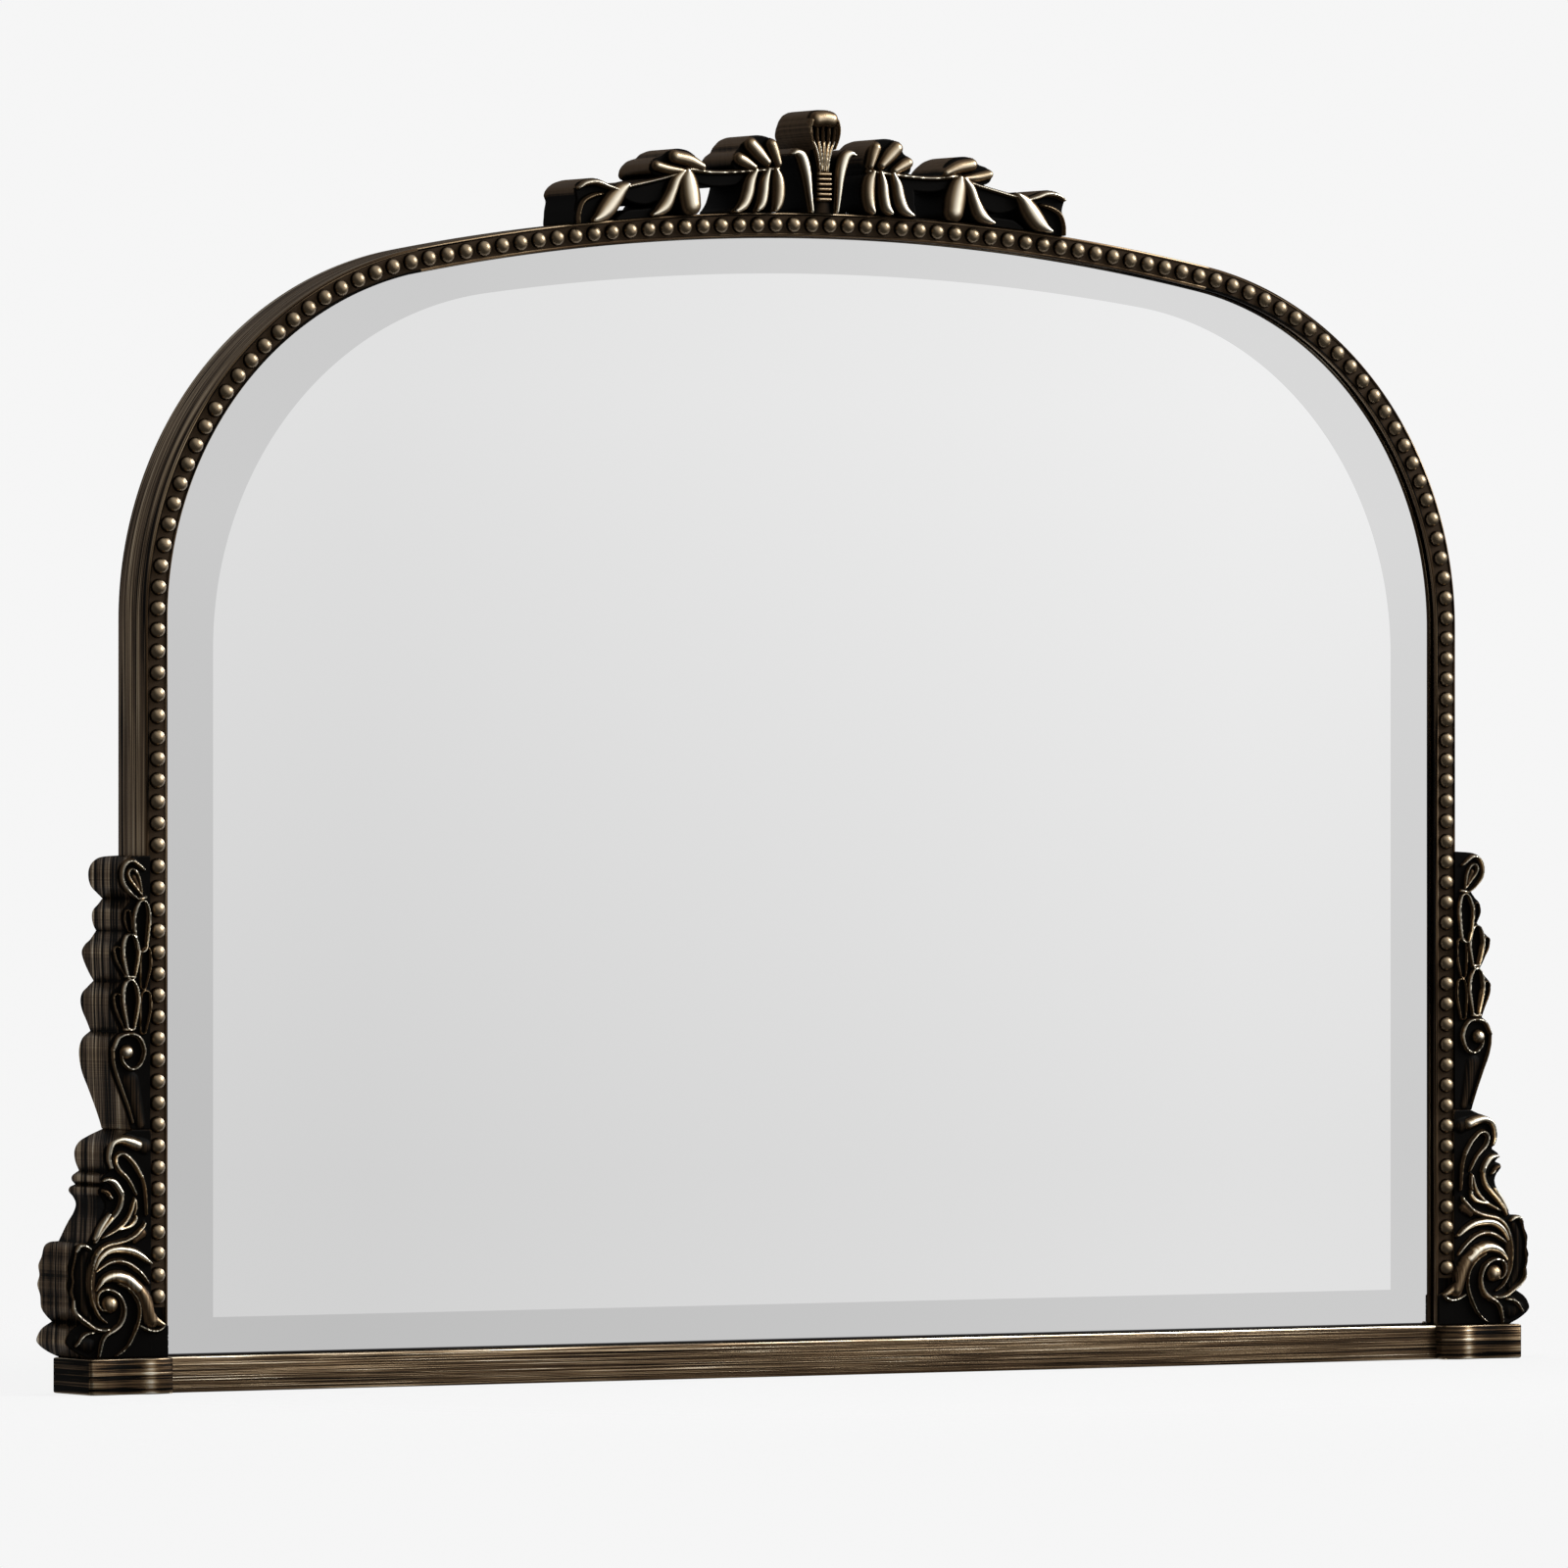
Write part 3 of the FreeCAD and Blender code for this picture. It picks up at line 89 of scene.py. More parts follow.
class MirrorSizes(bpy.types.PropertyGroup):
    """Sizes of the visible pieces."""

    shoulder_radius: length("Shoulder radius", "Sight radius of the two arcs beside the crown", 0.251)
    rim_width: length("Rim width", "Flat rim on either side of the bead channel", 0.002)
    channel_depth: length("Channel depth", "Depth of the bead channel", 0.002)
    rabbet_width: length("Rabbet width", "How far the glass goes behind the lip", 0.006)
    edge_round: length("Edge rounding", "Radius of the worn outer edges", 0.0012)
    bead_diameter: length("Bead diameter", "Diameter of one half-round bead", 0.012)
    bead_pitch: length("Bead pitch", "Distance from bead to bead", 0.015)
    bevel_width: length("Bevel width", "Width of the glass bevel beside the sight edge", 0.038)
    bevel_bottom: length("Bevel bottom", "Height of the bevel above the base", 0.027)
    bevel_drop: length("Bevel crown drop", "Drop of the bevel line under the crown", 0.0265)
    bevel_spring_drop: length("Bevel spring drop", "How far the bevel's arcs start below the frame's", 0.020)
    bevel_shoulder_gain: length("Bevel shoulder gain", "Extra radius of the bevel's shoulder arcs", 0.004)
    glass_edge: length("Glass edge", "Thickness of the glass at its edge", 0.0025)
    back_gap: length("Back gap", "How far the carving stops before the back plane", 0.0005)
    block_bow: length("Block bow", "Radius of the bow at the inner end of a plinth block", 0.024)
    block_cove: length("Block cove", "Radius of the shallow cove of a plinth block", 0.060)


class MirrorFinish(bpy.types.PropertyGroup):
    """Colours of the finishes."""

    patina: colour("Patina", "Darkest patina in the recesses", (0.0011, 0.0008, 0.0005))
    umber: colour("Umber", "Brown of the brushed flats", (0.090, 0.055, 0.029))
    bronze: colour("Bronze", "Rubbed bronze on rounded forms", (0.365, 0.265, 0.157))
    bead: colour("Beads", "Satin bronze of the beads", (0.30, 0.222, 0.134))
    worn: colour("Worn metal", "Bright metal on edges and ridges", (1.0, 0.915, 0.74))
    silver: colour("Silvering", "Reflection of the glass", (0.93, 0.93, 0.93))
    # painted darkening of the bevel's reflection
    painted_bevel_tint: amount("Bevel tint", "How much the bevel still reflects", 0.80)
    board: colour("Board", "Brown hardboard behind the glass", (0.22, 0.125, 0.06))
    batten: colour("Battens", "Pale softwood", (0.52, 0.36, 0.20))
    steel: colour("Steel", "Zinc-plated fixings", (0.55, 0.56, 0.58))
    nickel: colour("Hanger", "Nickel-plated strap hangers", (0.66, 0.64, 0.60))
    rubber: colour("Pads", "Setting pads", (0.03, 0.03, 0.03))


class MirrorStage(bpy.types.PropertyGroup):
    """Light, floor and view."""

    backdrop: amount("Backdrop", "Brightness of the plain background", 0.92)
    ambient: amount("Ambient", "Soft light from all round", 0.30)
    key_power: amount("Key power", "Power of the large front light in watts", 260.0, 2000.0)
    fill_power: amount("Fill power", "Power of the side light in watts", 60.0, 2000.0)
    camera_lens: bpy.props.FloatProperty(name="Lens", description="Focal length in millimetres", default=307.35)
    camera_turn: bpy.props.FloatProperty(
        name="Camera turn", description="Angle of the view from square on", default=math.radians(-31.0), subtype="ANGLE")
    camera_distance: length("Camera distance", "Distance from the face of the frame", 9.6008)
    camera_height: length("Camera height", "Height of the lens above the floor", 0.425)
    camera_shift: length("Camera aim", "Where along the frame the lens points", -0.0304)


# ---------------------------------------------------------------- materials


class Wire:
    """A socket of a shader tree, so that shader maths reads as plain expressions."""

    def __init__(self, tree, socket):
        self.tree, self.socket = tree, socket

    def maths(self, operation, *values):
        made = self.tree.nodes.new("ShaderNodeMath")
        made.operation = operation
        for slot, given in zip(made.inputs, values):
            if isinstance(given, Wire):
                self.tree.links.new(given.socket, slot)
            else:
                slot.default_value = given
        return Wire(self.tree, made.outputs[0])

    def __add__(self, other):
        return self.maths("ADD", self, other)

    def __sub__(self, other):
        return self.maths("SUBTRACT", self, other)

    def __rsub__(self, other):
        return self.maths("SUBTRACT", other, self)

    def __mul__(self, other):
        return self.maths("MULTIPLY", self, other)

    def __truediv__(self, other):
        return self.maths("DIVIDE", self, other)

    __radd__, __rmul__ = __add__, __mul__

    def clipped(self):
        return self.maths("MAXIMUM", self.maths("MINIMUM", self, 1.0), 0.0)

    def between(self, low, high):
        """0 below low, 1 above high and smooth between them."""
        part = ((self - low) / (high - low)).clipped()
        return part * part * (3.0 - 2.0 * part)


class Finish:
    """A procedural material, or the world, while its tree is built."""

    def __init__(self, owner):
        owner.use_nodes = True
        self.owner, self.tree = owner, owner.node_tree
        self.tree.nodes.clear()

    def node(self, kind, settings=None, inputs=None, output=0):
        """One node: settings first, then the values or links of its sockets."""
        made = self.tree.nodes.new(kind)
        for name, given in (settings or {}).items():
            if name == "stops":
                ramp = made.color_ramp.elements
                while len(ramp) < len(given):
                    ramp.new(1.0)
                for element, (spot, tone) in zip(ramp, given):
                    element.position, element.color = spot, (*tone, 1.0)
            else:
                setattr(made, name, given)
        for name, given in (inputs or {}).items():
            slot = made.inputs[name]
            if isinstance(given, Wire):
                self.tree.links.new(given.socket, slot)
            elif slot.type == "RGBA" and len(given) == 3:
                slot.default_value = (*given, 1.0)
            else:
                slot.default_value = given
        return Wire(self.tree, made.outputs[output]) if made.outputs else None

    def blend(self, share, first, second):
        """Colour between two colours."""
        return self.node("ShaderNodeMix", {"data_type": "RGBA"}, {0: share, 6: first, 7: second}, 2)

    def noise(self, place, scale, detail=3.0, rough=0.6):
        return self.node("ShaderNodeTexNoise", None, {
            "Vector": place, "Scale": scale, "Detail": detail, "Roughness": rough})

    def stretched(self, place, *factors):
        return self.node("ShaderNodeVectorMath", {"operation": "MULTIPLY"}, {0: place, 1: factors})

    def here(self):
        return self.node("ShaderNodeTexCoord", None, None, 3)

    def attribute(self, name):
        return self.node("ShaderNodeAttribute", {"attribute_name": name}, None, 2)

    def surface(self, inputs):
        body = self.node("ShaderNodeBsdfPrincipled", None, inputs)
        self.node("ShaderNodeOutputMaterial", None, {"Surface": body})
        return self.owner

    def bump(self, height, depth, strength=1.0):
        return self.node("ShaderNodeBump", None, {"Height": height, "Distance": depth, "Strength": strength})


def new_finish(name):
    return Finish(bpy.data.materials.new(name))


def brushed_bronze(name, tones, streak=1.0, gloss=0.36):
    """Antique bronze: dark patina in the hollows, brushed brown flats and bright rubbed metal, read from an attribute
    that also holds painted highlights and painted shade.
    """
    make = new_finish(name)
    wear, brushed = make.attribute("wear"), make.attribute("brush")
    grain = make.node("ShaderNodeUVMap", {"uv_map": "grain"})
    fine = make.noise(make.stretched(grain, 7.0, 900.0, 1.0), 1.0, 2.0, 0.5)
    broad = make.noise(make.stretched(grain, 3.0, 210.0, 1.0), 1.0, 3.0, 0.55)
    cut = make.noise(make.stretched(grain, 4.0, 430.0, 1.0), 1.0, 2.0, 0.6).between(0.50, 0.58)
    cloud = make.noise(make.here(), 38.0, 3.0)
    brush = (fine - 0.5) * 1.2 + (broad - 0.5) * 1.6 - 0.42 * cut
    # colour mask: real rubbing plus the painted highlights and painted shade held in the attribute
    rubbed_and_painted_light = wear + brush * brushed * (0.40 * streak) + (cloud - 0.5) * 0.08
    body = make.blend(rubbed_and_painted_light.between(0.08, 0.40), tones.patina, tones.umber)
    body = make.blend(rubbed_and_painted_light.between(0.36, 0.66), body, tones.bronze)
    body = make.blend(rubbed_and_painted_light.between(0.60, 0.90), body, tones.worn)
    return make.surface({
        "Base Color": body,
        "Metallic": rubbed_and_painted_light.between(0.05, 0.45),
        "Roughness": gloss + 0.20 * (1.0 - rubbed_and_painted_light.between(0.15, 0.75)) + (broad - 0.5) * 0.10,
        "Specular IOR Level": 0.03,
        "Normal": make.bump((fine + broad) * brushed, 0.00012 * streak, 0.7),
    })


def bead_bronze(tones, face, height):
    """Satin bronze beads with a painted contact shadow, a dark ring where they meet the strip."""
    make = new_finish("bead_bronze")
    depth = make.node("ShaderNodeSeparateXYZ", None, {0: make.here()}, 1)
    rise = (face - depth) / height
    cloud = make.noise(make.here(), 420.0, 2.0)
    # lit is the height up the bead; its lowest part is painted shadow round the bead's foot
    lit = (rise + (cloud - 0.5) * 0.14).clipped()
    body = make.blend(lit.between(0.20, 0.46), tones.patina, tones.umber)
    body = make.blend(lit.between(0.28, 0.72), body, tones.bead)
    # the strip between the beads is dark brown, partly painted shade
    strip = (make.attribute("wear") * 5.0).clipped()
    return make.surface({
        "Base Color": make.blend(strip, body, tuple(0.36 * part for part in tones.umber)),
        "Metallic": lit.between(0.02, 0.25) * (1.0 - strip),
        "Roughness": 0.34 + 0.06 * cloud + 0.28 * strip,
        "Specular IOR Level": 0.06,
        "Coat Weight": 0.55 * lit.between(0.30, 0.60) * (1.0 - strip),
        "Coat Roughness": 0.20,
        "Coat IOR": 1.5,
    })


def silvered_glass(tones, foot):
    """Silvered glass with painted darkening: a dimmer reflection painted on the bevel and a painted shadow line along
    its foot above the rail.
    """
    make = new_finish("mirror_glass")
    band = make.attribute("bevel")
    height = make.node("ShaderNodeSeparateXYZ", None, {0: make.here()}, 2)
    # painted darkening of the reflection: less on the bevel, and a painted shadow line along the foot
    painted_dimming = (1.0 - (1.0 - tones.painted_bevel_tint) * band) * (0.04 + 0.96 * (height - foot).between(0.0016, 0.0024))
    body = make.node("ShaderNodeVectorMath", {"operation": "SCALE"}, {0: tuple(tones.silver), "Scale": painted_dimming})
    return make.surface({"Base Color": body, "Metallic": 1.0, "Roughness": 0.0})


def wood(name, tone, along):
    """Plain softwood or board with a faint grain."""
    make = new_finish(name)
    stretch = [60.0, 60.0, 60.0]
    stretch[along] = 4.0
    grain = make.noise(make.stretched(make.here(), *stretch), 1.0, 4.0)
    fleck = make.noise(make.here(), 260.0, 2.0)
    shade = (0.35 + 0.5 * grain + 0.25 * (fleck - 0.5)).clipped()
    dark = tuple(0.55 * part for part in tone)
    return make.surface({
        "Base Color": make.blend(shade, dark, tuple(min(1.0, 1.25 * part) for part in tone)),
        "Roughness": 0.62 + 0.2 * fleck,
    })


def plated(name, tone, rough):
    """Plated metal with light scuffs."""
    make = new_finish(name)
    scuff = make.noise(make.here(), 340.0, 3.0)
    dull = tuple(0.6 * part for part in tone)
    return make.surface({
        "Base Color": make.blend(scuff.between(0.25, 0.6), dull, tuple(tone)),
        "Metallic": 1.0,
        "Roughness": rough + 0.15 * scuff,
    })


def rubber(tone):
    make = new_finish("pad_rubber")
    speck = make.noise(make.here(), 500.0, 2.0)
    return make.surface({
        "Base Color": make.blend(speck, tuple(tone), tuple(2.0 * part for part in tone)), "Roughness": 0.85})


# ---------------------------------------------------------------- meshes


def new_piece(name, mesh, material, node_names):
    """Object for a finished mesh, tied to the CAD nodes that it stands for."""
    for polygon in mesh.polygons:
        polygon.use_smooth = True
    mesh.set_sharp_from_angle(angle=math.radians(38))
    mesh.materials.clear()
    mesh.materials.append(material)
    piece = bpy.data.objects.new(name, mesh)
    bpy.context.scene.collection.objects.link(piece)
    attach(piece, "mirror")
    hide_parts(*node_names)
    return piece


def skin(name, points, faces):
    """Mesh of points and faces, its faces turned outwards."""
    mesh = bpy.data.meshes.new(name)
    mesh.from_pydata([tuple(point) for point in points], [], faces)
    work = bmesh.new()
    work.from_mesh(mesh)
    bmesh.ops.recalc_face_normals(work, faces=work.faces)
    work.to_mesh(mesh)
    work.free()
    return mesh


def set_wear_and_painted_light(mesh, wear, brush=None):
    """How far each point is rubbed bright or carries painted highlight or painted shade, and how strongly it was
    brushed.
    """
    values = np.clip(np.asarray(wear, np.float32), 0.0, 1.0)
    brushed = np.ones_like(values) if brush is None else np.asarray(brush, np.float32)
    for name, given in (("wear", values), ("brush", brushed)):
        layer = mesh.attributes.new(name, "FLOAT", "POINT")
        layer.data.foreach_set("value", given)


def loop_facts(mesh):
    """Place of every face corner, and the direction of the face that it belongs to."""
    spots = np.empty(len(mesh.vertices) * 3)
    mesh.vertices.foreach_get("co", spots)
    index = np.empty(len(mesh.loops), int)
    mesh.loops.foreach_get("vertex_index", index)
    ways = np.empty(len(mesh.polygons) * 3)
    mesh.polygons.foreach_get("normal", ways)
    sizes = np.empty(len(mesh.polygons), int)
    mesh.polygons.foreach_get("loop_total", sizes)
    return spots.reshape(-1, 3)[index], np.repeat(ways.reshape(-1, 3), sizes, axis=0), index


def set_grain(mesh, pairs):
    layer = mesh.uv_layers.new(name="grain")
    layer.data.foreach_set("uv", np.asarray(pairs, np.float32).ravel())


def mirrored(name, mesh):
    """Left-hand copy of a right-hand mesh."""
    twin = mesh.copy()
    twin.name = name
    work = bmesh.new()
    work.from_mesh(twin)
    for spot in work.verts:
        spot.co.x = -spot.co.x
    bmesh.ops.reverse_faces(work, faces=work.faces)
    work.to_mesh(twin)
    work.free()
    return twin


def rounded(section, steps=4):
    """Closed section with its corners rounded; each corner is (a, b, radius). Also marks the rounded points."""
    points, marks = [], []
    count = len(section)
    for here in range(count):
        a, b, radius = section[here]
        corner = np.array((a, b))
        if radius <= 0:
            points.append(corner)
            marks.append(0.0)
            continue
        before = np.array(section[here - 1][:2]) - corner
        after = np.array(section[(here + 1) % count][:2]) - corner
        before /= np.linalg.norm(before)
        after /= np.linalg.norm(after)
        for step in range(steps + 1):
            share = step / steps
            start, end = corner + before * radius, corner + after * radius
            points.append((1 - share) ** 2 * start + 2 * share * (1 - share) * corner + share ** 2 * end)
            marks.append(math.sin(math.pi * share))
    return np.array(points), np.array(marks)


class Arch:
    """Sight line of the frame: straight stile, shoulder arc and flat crown arc."""

    def __init__(self, sizes):
        self.half, self.face = STILE_LOW[0], STILE_HIGH[0] - STILE_LOW[0]
        self.foot, self.spring = STILE_LOW[2], STILE_HIGH[2]
        self.small = sizes.shoulder_radius
        top = CROWN_HIGH[2] - self.face
        rise, self.reach = top - self.spring - self.small, self.half - self.small
        span = (self.reach ** 2 / rise + rise) / 2
        self.large = self.small + span
        self.centre = top - self.large
        self.shoulder_turn = math.acos(self.reach / span)
        self.crown_turn = math.asin(self.reach / span)

    def stile(self, low, high, count):
        heights = np.linspace(low, high, count)
        return [(self.half, z, 1.0, 0.0, z) for z in heights]

    def shoulder(self, first, last, count):
        line = self.small + self.face / 2
        stations = []
        for turn in np.linspace(first, last, count):
            way = (math.cos(turn), math.sin(turn))
            stations.append((self.reach + self.small * way[0], self.spring + self.small * way[1], *way,
                             self.spring + line * turn))
        return stations

    def crown(self, first, last, count):
        line = self.large + self.face / 2
        stations = []
        for turn in np.linspace(first, last, count):
            way = (math.sin(turn), math.cos(turn))
            stations.append((self.large * way[0], self.centre + self.large * way[1], *way, line * turn))
        return stations


def sweep(name, stations, section, wear):
    """Closed skin of a section of (outwards, depth) points carried along the stations."""
    count, turns = len(section), len(stations)
    points, grain, shade = [], [], []
    girth = np.concatenate(([0.0], np.cumsum(np.linalg.norm(np.diff(section, axis=0), axis=1))))
    for x, z, across, up, run in stations:
        for (out, depth), around, rub_and_painted_light in zip(section, girth, wear):
            points.append((x + across * out, depth, z + up * out))
            grain.append((run, around))
            shade.append(rub_and_painted_light)
    faces = []
    for turn in range(turns - 1):
        for spot in range(count):
            after = (spot + 1) % count
            faces.append((turn * count + spot, turn * count + after,
                          (turn + 1) * count + after, (turn + 1) * count + spot))
    faces.append(tuple(range(count)))
    faces.append(tuple(range((turns - 1) * count, turns * count)))
    mesh = skin(name, points, faces)
    set_wear_and_painted_light(mesh, shade)
    set_grain(mesh, np.array(grain)[loop_facts(mesh)[2]])
    return mesh


def smooth_run(points, steps=8):
    """Smooth line through points of any width, with its ends kept."""
    given = np.array(points, float)
    if len(given) < 3:
        return given
    padded = np.vstack((2 * given[0] - given[1], given, 2 * given[-1] - given[-2]))
    line = []
    for index in range(1, len(padded) - 2):
        a, b, c, d = padded[index - 1:index + 3]
        for step in range(steps):
            t = step / steps
            line.append(0.5 * (2 * b + (c - a) * t + (2 * a - 5 * b + 4 * c - d) * t ** 2
                               + (3 * b - a - 3 * c + d) * t ** 3))
    line.append(given[-1])
    return np.array(line)


def soften(field, passes):
    """Spreads a field over its neighbours a number of times."""
    for _ in range(passes):
        wide = np.pad(field, 1, mode="edge")
        field = (wide[1:-1, 1:-1] * 4 + 2 * (wide[:-2, 1:-1] + wide[2:, 1:-1] + wide[1:-1, :-2] + wide[1:-1, 2:])
                 + wide[:-2, :-2] + wide[:-2, 2:] + wide[2:, :-2] + wide[2:, 2:]) / 16
    return field


def dome(u):
    return np.sqrt(np.clip(1 - u * u, 0, 1))


def ridge(u):
    return (1 - u) ** 0.8


def cusp(u):
    """Sharp crest between two hollow flutes."""
    return (1 - u) ** 1.3


def barrel(u):
    return 1 - u * u


def hollow(u):
    """Petal with a raised rim and a sunk middle."""
    rim = np.clip((u - 0.35) / 0.42, 0, 1) ** 2
    return np.where(u < 0.77, 0.12 + 0.88 * rim, 1 - 0.6 * ((u - 0.77) / 0.23) ** 2)


class Relief:
    """Carving in millimetres: strokes raise a height field, an outline trims it, walls run to the back."""

    def __init__(self, low, high, pitch):
        self.pitch = pitch
        across = np.arange(low[0], high[0] + pitch, pitch)
        up = np.arange(low[1], high[1] + pitch, pitch)
        self.x, self.z = np.meshgrid(across, up)
        self.cover = np.full(self.x.shape, -1e3)
        self.level = np.zeros(self.x.shape)
        self.shine = np.zeros(self.x.shape)

    def window(self, line, margin):
        """Part of the field round a line."""
        low, high = line[:, :2].min(axis=0) - margin, line[:, :2].max(axis=0) + margin
        columns = np.where((self.x[0] >= low[0]) & (self.x[0] <= high[0]))[0]
        rows = np.where((self.z[:, 0] >= low[1]) & (self.z[:, 0] <= high[1]))[0]
        if not len(columns) or not len(rows):
            return None
        return slice(rows[0], rows[-1] + 1), slice(columns[0], columns[-1] + 1)

    def stroke(self, spine, form, top, base=0.0, shine=0.3, solid=False):
        """Raises a stroke whose spine is (x, z, half width)."""
        line = smooth_run(spine)
        part = self.window(line, line[:, 2].max() + 2 * self.pitch)
        if part is None:
            return
        x, z = self.x[part], self.z[part]
        near = np.full(x.shape, 1e3)
        depth = np.full(x.shape, -1e3)
        for first, last in zip(line[:-1], line[1:]):
            way = last[:2] - first[:2]
            share = ((x - first[0]) * way[0] + (z - first[1]) * way[1]) / max(way @ way, 1e-9)
            share = np.clip(share, 0, 1)
            off = np.hypot(x - first[0] - share * way[0], z - first[1] - share * way[1])
            half = first[2] + share * (last[2] - first[2])
            near = np.minimum(near, off / half)
            depth = np.maximum(depth, half - off)
        shape = form(np.clip(near, 0, 1))
        # shine paints a highlight along the crest of each stroke: partly rubbed metal, partly painted highlight
        glow = shape ** (1.3 if form in (cusp, barrel) else 2.0)
        height = np.where(near < 1, base + (top - base) * shape, -1e3)
        over = height > self.level[part]
        self.level[part] = np.where(over, height, self.level[part])
        self.shine[part] = np.where(over, shine * glow, self.shine[part])
        if solid:
            self.cover[part] = np.maximum(self.cover[part], depth)

    def outside(self, runs):
        """Distance inside (positive) or outside (negative) an outline of smooth runs."""
        line = np.vstack([smooth_run(run)[:-1] for run in runs])
        inside = np.zeros(self.x.shape, bool)
        near = np.full(self.x.shape, 1e3)
        for first, last in zip(line, np.roll(line, -1, axis=0)):
            way = last - first
            share = ((self.x - first[0]) * way[0] + (self.z - first[1]) * way[1]) / max(way @ way, 1e-9)
            share = np.clip(share, 0, 1)
            near = np.minimum(near, np.hypot(self.x - first[0] - share * way[0], self.z - first[1] - share * way[1]))
            if first[1] != last[1]:
                crossing = (first[1] > self.z) != (last[1] > self.z)
                inside ^= crossing & (self.x < first[0] + (self.z - first[1]) / (last[1] - first[1]) * way[0])
        return np.where(inside, near, -near)

    def plate(self, runs, level):
        """A flat ground within an outline."""
        field = self.outside(runs)
        self.cover = np.maximum(self.cover, field)
        self.level = np.where(field > -self.pitch, np.maximum(self.level, level), self.level)

    def finished(self, edge, sharpness):
        """Height with softened creases and rounded edges, and the wear that ridges and hollows give, plus the strokes'
        painted highlights.
        """
        level = soften(self.level, 1)
        hollowed = soften(self.level, 14)
        rub_and_painted_light = 0.02 + self.shine + sharpness * (level - hollowed)
        inset = edge - np.clip(self.cover, 0, edge)
        level = level - (edge - np.sqrt(np.maximum(edge * edge - inset * inset, 0)))
        return level, np.clip(rub_and_painted_light, 0, 1)

    def carve(self, name, trim, place, face, back, edge=0.9, sharpness=0.11, side=0.38, dip=None):
        """Mesh of the carving within a trimmed cover; place turns millimetres into x and z, dip lowers the back edge."""
        cover = np.minimum(self.cover, trim)
        level, rub_and_painted_light = self.finished(edge, sharpness)
        # Painted shade on the walls: side is their brushed tone, made darker where the outline crowds in at notches and
        # hollows
        crowded = soften((self.cover > 0).astype(float), 60)
        wall_tone_and_painted_shade = side + np.zeros(self.x.shape) - 1.7 * np.clip(crowded - 0.50, -0.06, 1)
        held = cover > 0
        index = np.full(held.shape, -1)
        index[held] = np.arange(held.sum())
        flat_x, flat_z, rise, wear = (list(field[held]) for field in (self.x, self.z, level, rub_and_painted_light))
        whole = held[:-1, :-1] & held[:-1, 1:] & held[1:, 1:] & held[1:, :-1]
        faces = [tuple(quad) for quad in np.stack((
            index[:-1, :-1][whole], index[:-1, 1:][whole], index[1:, 1:][whole], index[1:, :-1][whole]), axis=1)]
        some = held[:-1, :-1] | held[:-1, 1:] | held[1:, 1:] | held[1:, :-1]
        crossings, rim, wall_tones_and_painted_shade = {}, [], {}

        def crossing(inner, outer):
            key = (inner, outer)
            if key not in crossings:
                share = min(max(cover[inner] / (cover[inner] - cover[outer]), 0.04), 0.96)
                crossings[key] = len(flat_x)
                flat_x.append(self.x[inner] + share * (self.x[outer] - self.x[inner]))
                flat_z.append(self.z[inner] + share * (self.z[outer] - self.z[inner]))
                rise.append(level[inner] - 0.35 * edge * (self.cover[inner] < edge))
                wall_tones_and_painted_shade[crossings[key]] = max(wall_tone_and_painted_shade[inner], 0.03)
                wear.append(0.5 * rub_and_painted_light[inner] + 0.5 * wall_tone_and_painted_shade[inner])
            return crossings[key]

        for row, column in np.argwhere(some & ~whole):
            ring = [(row, column), (row, column + 1), (row + 1, column + 1), (row + 1, column)]
            shape, leaving = [], None
            entries, exits = [], []
            for here in range(4):
                first, last = ring[here], ring[(here + 1) % 4]
                if held[first]:
                    shape.append(index[first])
                if held[first] and not held[last]:
                    shape.append(crossing(first, last))
                    exits.append((len(shape) - 1, shape[-1]))
                elif held[last] and not held[first]:
                    shape.append(crossing(last, first))
                    entries.append((len(shape) - 1, shape[-1]))
            faces.append(tuple(shape))
            for spot, point in exits:
                rim.append((point, shape[(spot + 1) % len(shape)]))
        front_count = len(faces)
        flat_x, flat_z = np.array(flat_x), np.array(flat_z)
        x, z = place(flat_x, flat_z)
        points = np.stack((x, face - np.array(rise) * MILLIMETRE, z), axis=1)
        ring_points = sorted({point for pair in rim for point in pair})
        order = {point: spot for spot, point in enumerate(ring_points)}
        front = points[ring_points]
        rings = [(np.minimum(front[:, 1] + 1.5 * MILLIMETRE, 0.5 * (front[:, 1] + back)), 0.0)]
        sunk = 0.0
        if dip:
            sunk = dip(flat_x[ring_points], flat_z[ring_points]) * MILLIMETRE
            rings += [(back - ahead * MILLIMETRE, share) for ahead, share in ((9, 0.0), (5, 0.1), (2.4, 0.32), (0.8, 0.6))]
        rings.append((back, 1.0))
        last_ring = ring_points
        brush = [0.18] * len(wear) + [1.0] * (len(rings) * len(ring_points))
        wear = list(wear) + [wall_tones_and_painted_shade[point] for point in ring_points] * len(rings)
        for depth, share in rings:
            ring = front.copy()
            ring[:, 1] = depth
            ring[:, 2] -= share * sunk
            this_ring = list(range(len(points), len(points) + len(ring)))
            points = np.vstack((points, ring))
            for first, last in rim:
                first, last = order[first], order[last]
                faces.append((last_ring[last], last_ring[first], this_ring[first], this_ring[last]))
            last_ring = this_ring
        faces += self.back_cap(points, [(last_ring[order[first]], last_ring[order[last]]) for first, last in rim])
        mesh = bpy.data.meshes.new(name)
        mesh.from_pydata([tuple(point) for point in points], [], faces)
        mesh.validate()
        set_wear_and_painted_light(mesh, wear, brush)
        spots, ways, _ = loop_facts(mesh)
        streaks = np.where(ways[:, 1] > 0.95, 0.02, 1.0)[:, None]
        set_grain(mesh, streaks * np.stack((spots[:, 2], 0.86 * spots[:, 0] + 0.51 * spots[:, 1]), axis=1))
        return mesh

